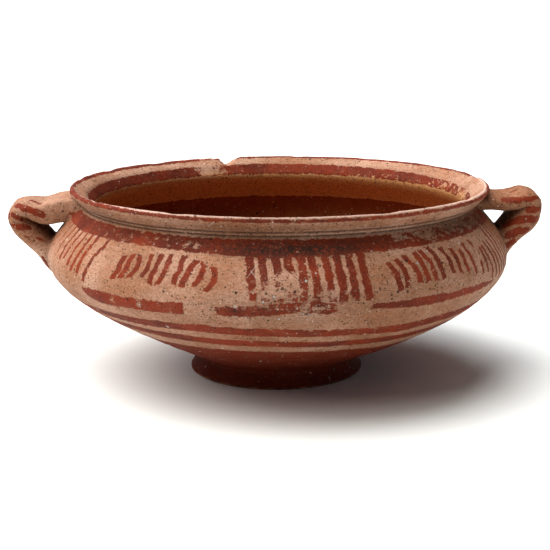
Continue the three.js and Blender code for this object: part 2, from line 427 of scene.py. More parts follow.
class Strap:
    """The rings of one strap handle."""

    def __init__(self, sizes: HandleSizes, outline: Outline, warp: Warp, steps: int = 84, sides: int = 56) -> None:
        self.sizes = sizes
        self.steps = steps
        self.sides = sides
        self._outline = outline
        self._warp = warp
        self.points, self.along, self.turn = self._rings()

    def _line(self, fine: int = 400) -> tuple[Array, Array]:
        """Middle line as radius and height, evenly spaced, with the strap's thickness along it."""
        s, body = self.sizes, self._outline.sizes
        outermost = max(station[0] for station in s.stations)
        bend = next(station for station in s.stations if station[0] == outermost)
        outer = s.reach - bend[2] / 2
        knots = []
        for share, drop, thickness in s.stations:
            z = body.height - drop
            wall = float(self._outline.outer_radius(np.array(z)))
            knots.append((wall + (outer - wall) * share, z, thickness))
        curve = catmull_rom(np.array(knots), fine)
        path = np.concatenate([[0.0], np.cumsum(np.hypot(*np.diff(curve[:, :2], axis=0).T))])
        even = np.linspace(0, path[-1], self.steps + 1)
        line = np.stack([np.interp(even, path, curve[:, i]) for i in range(3)], axis=1)
        return line, even

    def _rings(self) -> tuple[Array, Array, Array]:
        """Corners of every ring in the model's frame, with path length and turn round the section.

        Returns:
            Points, path length of each point, and its angle round the section with 0 outward.
        """
        s = self.sizes
        line, even = self._line()
        tangent = np.gradient(line[:, :2], axis=0)
        tangent /= np.linalg.norm(tangent, axis=1)[:, None]
        heading = np.unwrap(np.arctan2(tangent[:, 1], tangent[:, 0]))
        curl = np.gradient(heading, even)
        curl = np.convolve(np.pad(curl, 2, mode="edge"), np.ones(5) / 5, "valid")
        radius = 1.0 / np.maximum(np.abs(curl), 1e-3)
        t = np.linspace(0, 1, self.steps + 1)
        half_width = (s.width + s.spread * np.abs(2 * t - 1) ** s.spread_lateness) / 2
        points, along, turn = [], [], []
        for i in range(self.steps + 1):
            for k in range(self.sides):
                angle = 2 * math.pi * k / self.sides
                c, sn = math.cos(angle), math.sin(angle)
                power = 2 / (s.root_squareness + (s.squareness - s.root_squareness) * smoothstep(0.24, 0.4, t[i]))
                out = line[i, 2] / 2 * math.copysign(abs(c) ** power, c)
                if out * curl[i] > 0:
                    out = math.copysign(min(abs(out), 0.86 * radius[i]), out)
                across = half_width[i] * math.copysign(abs(sn) ** power, sn)
                r = line[i, 0] - tangent[i, 1] * out
                z = line[i, 1] + tangent[i, 0] * out
                points.append((r, across, z))
                along.append(even[i])
                turn.append(angle)
        points = np.array(points)
        points = self._hand_shaped(points)
        deep = self._outline.outer_radius(points[:, 2]) - 0.5 * self._outline.sizes.wall
        reach = np.hypot(points[:, 0], points[:, 1])
        shift = np.where(reach < deep, deep / np.maximum(reach, 1e-6), 1.0)
        points[:, 0] *= shift
        points[:, 1] *= shift
        points[:, 0] = s.side * points[:, 0] + self._warp.axis_x + float(self._warp.lean(self._outline.sizes.throat_height))
        return points, np.array(along), np.array(turn)

    def _hand_shaped(self, points: Array) -> Array:
        """Give the strap the small unevenness of pressed clay."""
        out = points.copy()
        for i, (x, y, z) in enumerate(points):
            at = Vector((x * self.sizes.side, y, z))
            push = noise.noise_vector(at / 9.0) * 0.55 + noise.noise_vector(at / 3.5) * 0.18
            out[i] += np.array(push)
        return out

    def mesh(self) -> bpy.types.Mesh:
        """Close the rings into a mesh.

        Returns:
            A closed mesh in metres.
        """
        n, m = self.steps + 1, self.sides
        faces: list[tuple[int, ...]] = []
        for i in range(n - 1):
            for k in range(m):
                a, b = i * m + k, i * m + (k + 1) % m
                faces.append((a, a + m, b + m, b) if self.sizes.side > 0 else (a, b, b + m, a + m))
        first, last = list(range(m)), list(range((n - 1) * m, n * m))
        ends = [tuple(first), tuple(reversed(last))]
        if self.sizes.side < 0:
            ends = [tuple(reversed(face)) for face in ends]
        mesh = bpy.data.meshes.new(f"strap_{self.sizes.name}")
        mesh.from_pydata((self.points * MM).tolist(), [], faces + ends)
        mesh.update()
        return mesh


def catmull_rom(knots: Array, samples: int) -> Array:
    """Centripetal curve through knots, as used for the strap's middle line.

    Args:
        knots: Radius, height and thickness of each knot.
        samples: How many points to return.

    Returns:
        Points along the curve.
    """
    line = np.stack([knots[:, 0], knots[:, 2], knots[:, 1]], axis=1)
    first, last = 2 * line[0] - line[1], 2 * line[-1] - line[-2]
    padded = np.concatenate([[first], line, [last]])
    spans = len(line) - 1
    out = []
    for at in np.linspace(0, spans, samples):
        i = min(int(at), spans - 1)
        w = at - i
        p0, p1, p2, p3 = padded[i:i + 4]
        d0, d1, d2 = (max(np.sum((b - a) ** 2) ** 0.25, 1e-4) for a, b in ((p0, p1), (p1, p2), (p2, p3)))
        m1 = ((p1 - p0) / d0 - (p2 - p0) / (d0 + d1) + (p2 - p1) / d1) * d1
        m2 = ((p2 - p1) / d1 - (p3 - p1) / (d1 + d2) + (p3 - p2) / d2) * d1
        out.append(p1 + m1 * w + (3 * (p2 - p1) - 2 * m1 - m2) * w * w + (2 * (p1 - p2) + m1 + m2) * w ** 3)
    found = np.array(out)
    return np.stack([found[:, 0], found[:, 2], found[:, 1]], axis=1)


@dataclass(frozen=True)
class Chip:
    """A piece broken out of the lip, as a wedge with a rough floor."""

    angle: float
    outline: tuple[tuple[float, float], ...]
    reach_in: float = 18.0
    reach_out: float = 6.0


CHIPS = (
    Chip(107.7, ((11.0, 1.0), (11.0, 0.0), (7.6, -1.0), (3.8, -3.0), (1.2, -4.3), (-0.5, -4.6), (-2.0, -2.6),
                 (-3.3, -1.1), (-12.0, -0.2), (-12.0, 1.0))),
)


@dataclass(frozen=True)
class Nick:
    """A shallow worn place on the lip: its angle, half length in degrees and depth in millimetres."""

    angle: float
    half_length: float
    depth: float


NICKS = (
    Nick(12.0, 5.0, 0.6), Nick(23.0, 3.0, 0.25), Nick(36.0, 5.0, 0.25), Nick(61.0, 3.5, 0.3), Nick(84.0, 2.4, 0.3),
    Nick(131.0, 4.0, 0.5), Nick(152.0, 3.0, 0.6), Nick(171.0, 3.0, 0.4), Nick(214.0, 2.6, 0.5), Nick(243.0, 3.4, 0.35),
    Nick(297.0, 4.0, 0.4), Nick(329.0, 3.0, 0.5),
)


@dataclass(frozen=True)
class Stroke:
    """One painted stroke: (angle in degrees, height) stations from its top down, and its half width in mm."""

    stations: tuple[tuple[float, float], ...]
    half_width: float


class StrokeGroup:
    """A row of strokes side by side, in order of their angle."""

    def __init__(self, strokes: Sequence[Stroke]) -> None:
        self.strokes = list(strokes)

    def field(self, angle: Array, height: Array, radius: Array) -> tuple[Array, Array, Array]:
        """Where each point lies in the row.

        Args:
            angle: Angles of the points in degrees.
            height: Heights in millimetres.
            radius: Radii in millimetres.

        Returns:
            Position counted in strokes, half width of the nearest strokes counted likewise, and
            distance inside the strokes' ends in millimetres.
        """
        centres, ends = [], []
        for stroke in self.strokes:
            a, z = np.array(stroke.stations).T
            centres.append(np.interp(height, z[::-1], a[::-1]))
            ends.append(np.minimum(z[0] - height, height - z[-1]))
        centres, ends = np.array(centres), np.array(ends)
        widths = np.array([stroke.half_width for stroke in self.strokes])
        last = len(self.strokes) - 1
        place = np.clip(np.sum(angle[None, :] >= centres, axis=0) - 1, 0, last - 1)
        pick = np.arange(len(angle))
        low, high = centres[place, pick], centres[place + 1, pick]
        pitch = np.maximum(high - low, 0.5)
        share = (angle - low) / pitch
        inside = np.clip(share, 0, 1)
        end = ends[place, pick] * (1 - inside) + ends[place + 1, pick] * inside
        width = widths[place] * (1 - inside) + widths[place + 1] * inside
        return place + share, width / (np.radians(pitch) * radius), end


def count_strokes(rows: Sequence[StrokeGroup], angle: Array, height: Array, radius: Array) -> Array:
    """Place in all rows together, counted on from row to row so that it never jumps between them.

    Args:
        rows: The rows in order of their angle.
        angle: Angles of the points in degrees.
        height: Heights in millimetres.
        radius: Radii in millimetres.

    Returns:
        For each point the position in strokes, the half width in strokes and the distance inside
        the ends in millimetres.
    """
    places = np.tile([-0.5, -1.0, -9.0], (len(angle), 1))
    base = 0
    for row in rows:
        position, half, end = row.field(angle, height, radius)
        last = len(row.strokes) - 1
        begun = position >= -0.5
        places[begun, 0] = base + np.clip(position[begun], -0.5, last + 0.5)
        near = (position > -1.3) & (position < last + 1.3)
        places[near, 1], places[near, 2] = half[near], end[near]
        base += last + 1
    return places


LEFT_LINES = StrokeGroup([
    Stroke(((-169.5, 82.0), (-169.6, 70.0)), 0.9), Stroke(((-166.2, 81.5), (-166.6, 69.0)), 0.95),
    Stroke(((-162.5, 82.5), (-162.8, 71.5)), 1.0), Stroke(((-158.6, 83.0), (-158.9, 70.6), (-158.7, 68.8)), 1.1),
    Stroke(((-155.2, 83.0), (-155.4, 72.7), (-154.9, 66.9)), 1.2), Stroke(((-151.9, 83.0), (-152.4, 72.8), (-152.9, 67.4)), 1.2),
    Stroke(((-148.8, 83.0), (-149.3, 73.8), (-149.3, 66.3)), 1.2),
    Stroke(((-145.7, 83.0), (-146.1, 74.8), (-146.5, 70.2), (-146.8, 64.3)), 1.4),
    Stroke(((-142.7, 83.0), (-143.4, 76.0), (-143.9, 71.0), (-143.9, 64.6)), 1.5),
    Stroke(((-137.3, 83.0), (-138.2, 77.4), (-139.8, 71.9), (-140.3, 67.0), (-140.6, 61.4)), 1.5),
])
LEFT_WAVES = StrokeGroup([
    Stroke(((-129.2, 76.4), (-129.6, 73.0), (-129.5, 70.1), (-130.5, 65.8)), 1.80),
    Stroke(((-127.0, 77.4), (-127.3, 73.9), (-127.2, 70.7), (-128.1, 67.1)), 1.70),
    Stroke(((-125.0, 77.4), (-124.2, 73.8), (-124.5, 70.9), (-125.8, 67.9)), 1.70),
    Stroke(((-121.8, 78.2), (-121.5, 74.7), (-121.3, 71.9), (-122.5, 69.0)), 1.48),
    Stroke(((-119.1, 78.7), (-119.1, 75.2), (-119.3, 72.3), (-119.9, 69.4), (-119.6, 66.3)), 1.59),
    Stroke(((-116.4, 79.1), (-116.6, 76.0), (-116.4, 72.5), (-117.1, 69.5), (-117.6, 66.6)), 1.59),
    Stroke(((-112.9, 78.9), (-113.2, 75.7), (-112.8, 73.0), (-113.8, 70.5), (-113.6, 67.6)), 1.80),
    Stroke(((-109.4, 77.7), (-110.4, 74.6), (-110.6, 71.8), (-111.3, 69.3), (-111.6, 66.6)), 1.91),
    Stroke(((-107.4, 76.6), (-107.4, 73.3), (-107.6, 71.0), (-108.7, 67.1)), 1.59),
    Stroke(((-105.3, 75.4), (-104.2, 73.1), (-104.1, 69.8), (-105.2, 67.6), (-106.1, 65.4)), 1.70),
])
FRONT_BARS = StrokeGroup([
    Stroke(((-97.1, 80.3), (-96.5, 76.5), (-95.9, 71.5), (-95.4, 67.2), (-95.4, 62.6)), 2.1),
    Stroke(((-94.4, 84.0), (-93.9, 77.3), (-93.2, 73.2), (-92.8, 67.9), (-92.6, 62.4)), 2.0),
    Stroke(((-91.2, 84.0), (-90.7, 77.4), (-90.1, 74.0), (-89.8, 68.0), (-89.6, 62.4)), 2.2),
    Stroke(((-88.3, 84.0), (-87.9, 77.3), (-87.2, 73.2), (-86.9, 68.0), (-86.7, 62.4)), 2.2),
    Stroke(((-85.3, 84.0), (-84.8, 77.3), (-84.4, 74.2), (-84.2, 68.0), (-84.4, 62.4)), 2.0),
    Stroke(((-82.6, 84.0), (-82.2, 77.2), (-81.7, 73.0), (-81.4, 67.1), (-81.5, 61.6)), 1.95),
    Stroke(((-79.3, 84.0), (-79.1, 77.0), (-78.7, 72.8), (-78.4, 67.6), (-78.1, 61.6)), 1.9),
    Stroke(((-76.5, 84.0), (-76.2, 76.8), (-75.9, 72.5), (-75.7, 67.4), (-75.8, 61.7)), 2.2),
    Stroke(((-73.5, 84.0), (-73.4, 76.5), (-73.1, 72.2), (-73.0, 67.1), (-72.9, 61.3)), 1.9),
    Stroke(((-70.5, 84.0), (-70.5, 76.2), (-70.3, 71.9), (-70.0, 66.7), (-69.9, 61.3)), 2.1),
])
RIGHT_WAVES = StrokeGroup([
    Stroke(((-63.8, 75.7), (-63.0, 72.8), (-62.1, 71.0), (-62.2, 68.2), (-61.9, 63.8)), 1.72),
    Stroke(((-61.8, 77.3), (-60.6, 74.5), (-60.0, 71.8), (-60.0, 69.0), (-60.1, 65.4)), 1.72),
    Stroke(((-59.2, 77.6), (-58.1, 75.1), (-57.0, 72.8), (-56.6, 70.3), (-56.6, 66.4)), 1.84),
    Stroke(((-55.9, 78.9), (-55.2, 76.9), (-54.6, 73.9), (-54.4, 70.6), (-54.0, 66.2)), 1.72),
    Stroke(((-53.8, 79.0), (-52.9, 76.4), (-52.1, 73.8), (-52.0, 70.5), (-51.6, 66.0)), 1.61),
    Stroke(((-51.2, 80.0), (-49.9, 76.5), (-49.4, 73.1), (-49.4, 69.8), (-49.2, 66.2)), 1.72),
    Stroke(((-46.9, 78.3), (-46.1, 75.2), (-45.8, 72.2), (-45.7, 67.8)), 1.61),
    Stroke(((-43.9, 78.0), (-43.1, 74.9), (-43.0, 71.4), (-43.2, 66.7)), 1.61),
    Stroke(((-40.7, 76.3), (-40.4, 72.9), (-40.4, 69.8), (-40.2, 66.2)), 1.49),
    Stroke(((-38.2, 78.6), (-37.8, 75.1), (-37.2, 71.9), (-37.3, 68.4), (-36.9, 64.2)), 1.61),
    Stroke(((-34.6, 78.4), (-34.0, 75.6)), 1.26),
])
RIGHT_LINES = StrokeGroup([
    Stroke(((-31.5, 74.6), (-31.1, 70.4), (-31.2, 66.8), (-31.4, 63.6)), 1.3),
    Stroke(((-29.9, 74.8), (-29.0, 69.9), (-28.6, 64.9), (-28.5, 58.6)), 1.2),
    Stroke(((-27.8, 76.5), (-26.5, 71.0), (-26.1, 65.8), (-25.6, 58.4)), 1.3),
    Stroke(((-25.4, 76.0), (-24.3, 69.8), (-23.8, 65.0), (-22.7, 57.6)), 1.2),
    Stroke(((-23.2, 81.0), (-22.2, 73.0), (-21.5, 67.0), (-20.9, 59.5)), 1.1),
    Stroke(((-20.8, 82.0), (-19.9, 73.4), (-19.4, 67.6), (-18.7, 59.6)), 1.1),
    Stroke(((-18.2, 82.0), (-17.4, 72.5), (-17.0, 66.2), (-16.2, 59.6)), 1.0),
    Stroke(((-15.6, 82.0), (-14.9, 73.0), (-14.4, 66.0), (-14.0, 60.0)), 1.0),
    Stroke(((-12.6, 82.0), (-12.4, 73.0), (-12.2, 66.0)), 0.9),
])


def mirrored_row(first: float, last: float, count: int, top: float, bottom: float, half_width: float,
                 sway: float, seed: int) -> StrokeGroup:
    """A row of strokes for the unseen side, in the manner of the seen ones.

    Args:
        first: Angle of the first stroke in degrees.
        last: Angle of the last stroke.
        count: How many strokes.
        top: Height of their upper ends.
        bottom: Height of their lower ends.
        half_width: Half width of a stroke in millimetres.
        sway: How far a stroke bends to a side, in degrees.
        seed: Start of the row's own unevenness.

    Returns:
        The row.
    """
    random = np.random.default_rng(seed)
    strokes = []
    for i in range(count):
        centre = first + (last - first) * i / (count - 1) + random.uniform(-0.3, 0.3)
        high = top + random.uniform(-1.2, 0.8)
        low = bottom + random.uniform(-1.6, 1.2)
        bend = sway * random.uniform(0.6, 1.3)
        middle = high * 0.55 + low * 0.45
        strokes.append(Stroke(((centre - bend, high), (centre + bend * 0.4, middle), (centre + bend * 0.2, low)),
                              half_width * random.uniform(0.88, 1.12)))
    return StrokeGroup(strokes)


ROWS = (
    LEFT_LINES, LEFT_WAVES, FRONT_BARS, RIGHT_WAVES, RIGHT_LINES,
    mirrored_row(12.0, 36.5, 9, 82.5, 62.0, 1.15, 0.3, 11),
    mirrored_row(44.0, 74.5, 11, 77.5, 66.5, 1.5, 0.7, 12),
    mirrored_row(83.0, 109.0, 10, 83.5, 61.8, 2.05, 0.2, 13),
    mirrored_row(117.5, 145.0, 10, 77.5, 66.5, 1.5, 0.7, 14),
    mirrored_row(150.5, 169.0, 7, 82.5, 64.0, 1.2, 0.3, 15),
)


class Face(Enum):
    """A side of the wall."""

    OUTER = 1
    INNER = -1


@dataclass(frozen=True)
class Band:
    """A painted band that runs round the wall.

    stations give angle in degrees and the heights of its lower and upper edge; a band that isn't
    whole ends at its first and last station.
    """

    face: Face
    stations: tuple[tuple[float, float, float], ...]
    whole: bool = True


BANDS = (
    Band(Face.OUTER, ((-131.0, 1.2, 30.4), (-116.0, 1.1, 31.1), (-92.0, 1.0, 31.8), (-68.0, 1.1, 30.8),
                      (-55.7, 1.2, 29.2), (0.0, 1.6, 30.2), (90.0, 1.8, 31.0), (170.0, 1.6, 30.3))),
    Band(Face.OUTER, ((-130.0, 36.6, 41.2), (-113.0, 35.9, 40.7), (-91.0, 35.8, 40.2), (-70.0, 34.8, 39.0),
                      (-55.0, 34.2, 38.2), (0.0, 35.0, 39.4), (90.0, 35.8, 40.2), (170.0, 36.2, 40.8))),
    Band(Face.OUTER, ((-132.0, 43.2, 47.9), (-124.0, 43.6, 48.2), (-109.0, 44.6, 49.0), (-91.0, 43.5, 48.6),
                      (-72.0, 42.8, 46.9), (-58.0, 41.2, 46.3), (-47.0, 42.2, 47.6), (0.0, 43.0, 47.5),
                      (90.0, 43.5, 48.0), (170.0, 43.4, 48.0))),
    Band(Face.OUTER, ((-141.6, 57.0, 59.0), (-139.7, 54.5, 59.3), (-136.6, 52.9, 59.4), (-131.0, 52.7, 58.9),
                      (-126.0, 53.5, 59.0), (-120.0, 53.5, 59.5), (-115.5, 53.9, 59.5), (-111.2, 54.6, 59.8)), False),
    Band(Face.OUTER, ((-103.6, 55.6, 59.2), (-98.2, 54.9, 60.2), (-93.4, 55.7, 61.0), (-90.6, 56.2, 61.3),
                      (-85.2, 57.5, 62.2), (-78.7, 56.1, 61.4), (-74.8, 58.6, 61.5)), False),
    Band(Face.OUTER, ((-69.6, 57.4, 59.7), (-62.0, 56.1, 59.5), (-56.5, 55.5, 59.8), (-50.5, 55.4, 59.7),
                      (-43.5, 55.8, 59.5), (-34.5, 55.9, 59.0), (-27.0, 56.6, 57.9)), False),
    Band(Face.OUTER, ((28.0, 56.0, 58.0), (36.0, 54.6, 59.4), (52.0, 54.2, 59.8), (69.0, 54.8, 59.8)), False),
    Band(Face.OUTER, ((78.0, 55.6, 60.2), (90.0, 55.2, 61.0), (105.0, 56.0, 61.2)), False),
    Band(Face.OUTER, ((112.0, 54.6, 59.8), (127.0, 53.8, 59.6), (146.0, 55.6, 58.6)), False),
    Band(Face.OUTER, ((-161.0, 80.5, 85.2), (-148.0, 80.5, 85.8), (-137.0, 80.9, 85.8), (-124.0, 81.0, 86.0),
                      (-109.0, 80.4, 86.0), (-97.0, 79.8, 86.4), (-91.0, 79.6, 86.6), (-80.0, 80.0, 86.4),
                      (-69.0, 80.5, 86.2), (-53.0, 80.4, 86.2), (-44.0, 80.8, 86.3), (-30.0, 80.8, 86.4),
                      (0.0, 80.6, 86.0), (90.0, 80.2, 86.2), (170.0, 80.6, 85.6))),
    Band(Face.OUTER, ((-90.0, 94.7, 96.3), (-20.0, 94.3, 96.3), (5.0, 94.0, 97.4), (20.0, 93.8, 98.2),
                      (50.0, 93.6, 98.0), (90.0, 93.2, 97.2), (130.0, 93.4, 98.4), (165.0, 93.8, 98.6),
                      (-160.0, 94.4, 97.2), (-130.0, 94.6, 96.2))),
    Band(Face.INNER, ((-90.0, 86.5, 91.2), (20.0, 86.6, 91.0), (90.0, 86.2, 91.4), (180.0, 86.6, 91.0))),
    Band(Face.INNER, ((-90.0, -9.0, 71.0), (60.0, -9.0, 71.8), (120.0, -9.0, 71.2))),
)


@dataclass(frozen=True)
class Stripe:
    """A painted dash on a handle: points along it in millimetres, and its half width."""

    points: tuple[tuple[float, float, float], ...]
    half: float

    def behind(self) -> "Stripe":
        """The same dash on the handle's far edge."""
        return Stripe(tuple((x, -y, z) for x, y, z in self.points), self.half)


LEFT_STRIPES = (
    Stripe(((-122.3, -7.5, 87.8), (-119.6, -9.3, 87.0), (-116.6, -11.9, 86.5)), 1.3),
    Stripe(((-128.5, -12.5, 86.1), (-125.8, -13.9, 85.8), (-122.6, -15.1, 84.8), (-119.2, -15.2, 83.5),
            (-115.3, -15.3, 82.0)), 1.9),
    Stripe(((-132.1, -13.2, 81.2), (-130.3, -14.6, 82.4), (-128.2, -15.2, 81.3), (-126.5, -13.9, 80.3)), 1.5),
    Stripe(((-131.8, -13.1, 77.1), (-128.9, -15.2, 76.5), (-126.0, -15.2, 75.7), (-122.7, -13.9, 75.2)), 1.5),
    Stripe(((-124.6, -15.2, 71.4), (-122.2, -15.2, 70.6), (-119.2, -15.1, 70.4), (-116.0, -13.7, 69.1)), 0.6),
    Stripe(((-116.2, -14.7, 60.1), (-114.7, -14.8, 58.0), (-113.9, -14.1, 55.8)), 1.0),
    Stripe(((-110.2, -13.2, 79.4), (-107.2, -13.2, 79.9), (-104.1, -13.7, 80.7), (-100.2, -15.9, 82.9)), 1.6),
)
RIGHT_STRIPES = (
    Stripe(((113.8, -13.5, 89.5), (116.2, -13.8, 89.6), (118.6, -14.3, 89.7), (120.5, -15.0, 89.5)), 2.0),
    Stripe(((123.9, -15.1, 90.3), (126.5, -14.6, 90.2), (129.2, -13.1, 90.1), (131.2, -10.8, 89.6)), 1.3),
    Stripe(((125.7, -14.7, 84.7), (128.1, -15.2, 84.8), (131.4, -13.6, 84.8), (132.6, -10.0, 84.9)), 1.6),
    Stripe(((115.3, -10.0, 76.0), (117.8, -12.6, 77.8), (120.6, -13.9, 79.0), (123.8, -15.2, 79.8),
            (126.8, -15.2, 80.0), (130.0, -13.9, 79.8)), 2.0),
    Stripe(((116.1, -15.6, 72.0), (118.5, -15.6, 73.2), (121.5, -15.4, 74.0), (125.1, -14.7, 74.4)), 1.9),
    Stripe(((116.1, -16.4, 66.8), (117.1, -16.2, 67.8), (118.7, -15.6, 68.7)), 1.5),
    Stripe(((118.3, -6.8, 91.9), (121.1, -4.7, 92.9), (124.3, -3.7, 93.5), (128.0, -3.0, 93.0)), 0.9),
)


@dataclass(frozen=True)
class WornPlace:
    """A round place where the paint is worn, by angle, height and half sizes in millimetres."""

    angle: float
    height: float
    half_run: float
    half_rise: float
    strength: float
    face: Face = Face.OUTER


WORN_PLACES = (
    WornPlace(-88.0, 69.0, 7.0, 5.5, 1.0), WornPlace(-91.0, 66.0, 9.0, 3.5, 1.0), WornPlace(-85.0, 66.5, 4.0, 2.5, 0.6),
    WornPlace(-90.5, 60.0, 20.0, 2.6, 0.55), WornPlace(-74.0, 59.0, 9.0, 3.4, 1.0), WornPlace(-83.0, 59.0, 11.0, 3.6, 0.75),
    WornPlace(-131.0, 56.0, 1.2, 3.0, 0.8), WornPlace(-122.8, 57.5, 1.4, 2.5, 0.9), WornPlace(-70.0, 47.0, 40.0, 2.2, 0.4),
    WornPlace(-126.5, 61.5, 1.2, 3.6, 0.8), WornPlace(-139.0, 60.5, 3.0, 3.0, 0.35), WornPlace(-58.0, 55.6, 12.0, 1.2, 0.6),
    WornPlace(-49.0, 83.4, 12.0, 2.2, 1.0), WornPlace(-58.0, 84.2, 5.0, 1.8, 0.9), WornPlace(-36.0, 84.4, 20.0, 2.6, 0.95), WornPlace(-80.0, 63.5, 13.0, 3.4, 0.6), WornPlace(-112.0, 82.5, 6.0, 1.2, 0.7),
    WornPlace(-128.0, 82.6, 26.0, 2.2, 0.4), WornPlace(-24.0, 84.0, 16.0, 3.0, 0.8),
    WornPlace(92.0, 66.0, 7.0, 6.0, 0.8), WornPlace(63.0, 58.0, 9.0, 3.0, 0.8), WornPlace(128.0, 57.5, 8.0, 3.0, 0.7),
    WornPlace(20.0, 46.0, 14.0, 4.0, 0.5), WornPlace(150.0, 45.0, 12.0, 4.0, 0.5),
    WornPlace(114.5, 90.5, 8.0, 5.0, 1.2, Face.INNER), WornPlace(20.0, 89.5, 14.0, 5.0, 0.62, Face.INNER),
    WornPlace(6.0, 89.0, 12.0, 5.0, 0.85, Face.INNER), WornPlace(60.0, 88.0, 40.0, 1.6, 0.3, Face.INNER),
)


@dataclass(frozen=True)
class CrustStainAndShadePlace:
    """A round place by angle, height, half sizes and strength, for dark crust left by the ground and for stains and
    painted shade.
    """

    angle: float
    height: float
    half_run: float
    half_rise: float
    strength: float


CRUST_PLACES = (
    CrustStainAndShadePlace(-92.0, 82.6, 42.0, 2.6, 0.95), CrustStainAndShadePlace(-70.0, 83.0, 22.0, 2.4, 0.8), CrustStainAndShadePlace(-110.0, 82.6, 18.0, 1.8, 0.55),
    CrustStainAndShadePlace(-140.0, 82.4, 22.0, 1.8, 0.45), CrustStainAndShadePlace(-34.0, 84.0, 26.0, 3.4, 0.75), CrustStainAndShadePlace(-95.0, 90.5, 60.0, 2.4, 0.4), CrustStainAndShadePlace(-88.0, 95.0, 60.0, 1.1, 0.6),
    CrustStainAndShadePlace(88.0, 83.0, 60.0, 2.4, 0.5), CrustStainAndShadePlace(-148.0, 90.0, 14.0, 3.0, 0.4), CrustStainAndShadePlace(-30.0, 91.0, 14.0, 3.0, 0.4),
    CrustStainAndShadePlace(-86.0, 81.9, 40.0, 2.4, 1.35), CrustStainAndShadePlace(-88.0, 60.0, 38.0, 9.0, 0.42), CrustStainAndShadePlace(-58.0, 70.0, 34.0, 12.0, 0.26),
    CrustStainAndShadePlace(-120.0, 72.0, 40.0, 10.0, 0.2), CrustStainAndShadePlace(-30.0, 74.0, 24.0, 10.0, 0.28),
)

# Stains, and painted shade: the place at angle 180 darkens the shaded lower face of the left handle.
STAINS_AND_PAINTED_SHADE = (
    CrustStainAndShadePlace(-88.0, 91.0, 58.0, 3.8, 1.0), CrustStainAndShadePlace(-55.0, 91.0, 30.0, 3.8, 0.6), CrustStainAndShadePlace(-130.0, 91.0, 30.0, 3.8, 0.35),
    CrustStainAndShadePlace(0.0, 92.0, 17.0, 6.0, 1.0), CrustStainAndShadePlace(-6.0, 88.0, 14.0, 6.0, 0.8), CrustStainAndShadePlace(-25.0, 86.0, 20.0, 9.0, 0.6),
    CrustStainAndShadePlace(-88.0, 64.0, 30.0, 4.0, 0.3), CrustStainAndShadePlace(-62.0, 70.0, 26.0, 9.0, 0.25), CrustStainAndShadePlace(-118.0, 74.0, 24.0, 5.0, 0.2),
    CrustStainAndShadePlace(-168.0, 84.0, 12.0, 5.0, 0.7), CrustStainAndShadePlace(90.0, 90.0, 60.0, 4.0, 0.5), CrustStainAndShadePlace(0.0, 85.0, 28.0, 18.0, 2.0),
    CrustStainAndShadePlace(180.0, 75.0, 28.0, 9.0, 1.8), CrustStainAndShadePlace(-76.0, 62.0, 55.0, 14.0, 0.56), CrustStainAndShadePlace(-42.0, 72.0, 30.0, 12.0, 0.45),
)


@dataclass(frozen=True)
class Speck:
    """A single pit or pale grain: its place in millimetres, radius, and whether it is dark."""

    place: tuple[float, float, float]
    radius: float
    dark: bool


SPECKS = (
    Speck((-16.8, -113.5, 65.8), 0.85, True), Speck((8.6, -114.4, 66.5), 0.8, True), Speck((18.6, -114.0, 60.2), 0.8, True),
    Speck((54.0, -102.7, 63.7), 0.8, True), Speck((-31.3, -109.7, 56.8), 0.7, True), Speck((-3.0, -112.8, 53.6), 0.7, True),
    Speck((14.2, -114.1, 58.4), 0.75, True), Speck((-79.2, -81.2, 56.2), 0.6, True), Speck((-60.8, -87.9, 77.1), 0.6, True),
    Speck((-0.4, -115.3, 64.5), 0.85, False), Speck((-5.2, -115.4, 62.3), 0.8, False), Speck((13.4, -111.9, 70.8), 0.8, False),
    Speck((12.1, -113.9, 56.6), 0.75, False), Speck((14.7, -113.5, 56.5), 0.75, False), Speck((-60.0, -96.6, 56.7), 0.8, False),
    Speck((-51.5, -102.0, 58.5), 0.6, False), Speck((1.7, -113.5, 54.2), 0.8, False), Speck((63.2, -91.4, 74.2), 0.7, False),
    Speck((68.3, -83.9, 78.1), 0.7, False), Speck((84.9, -67.2, 78.4), 0.9, False),
    Speck((-100.3, -14.3, 89.4), 1.0, True), Speck((-99.2, -15.6, 87.8), 0.9, True), Speck((-98.6, -16.3, 85.9), 0.9, True),
    Speck((-98.3, -16.4, 84.0), 0.8, True), Speck((-105.2, -15.7, 84.1), 0.7, True), Speck((-74.8, -67.2, 91.0), 0.7, True),
    Speck((-80.3, -56.4, 88.6), 0.7, True), Speck((-28.2, -94.8, 85.8), 0.9, True), Speck((-90.3, -42.0, 83.5), 0.7, True),
)
SCRATCHES = (
    ((-7.4, -107.5, 77.3), (-12.1, -111.0, 71.9)), ((-10.4, -109.3, 74.6), (-7.8, -111.7, 71.6)), ((-29.3, -97.4, 91.7), (-26.6, -100.7, 94.5)),
)


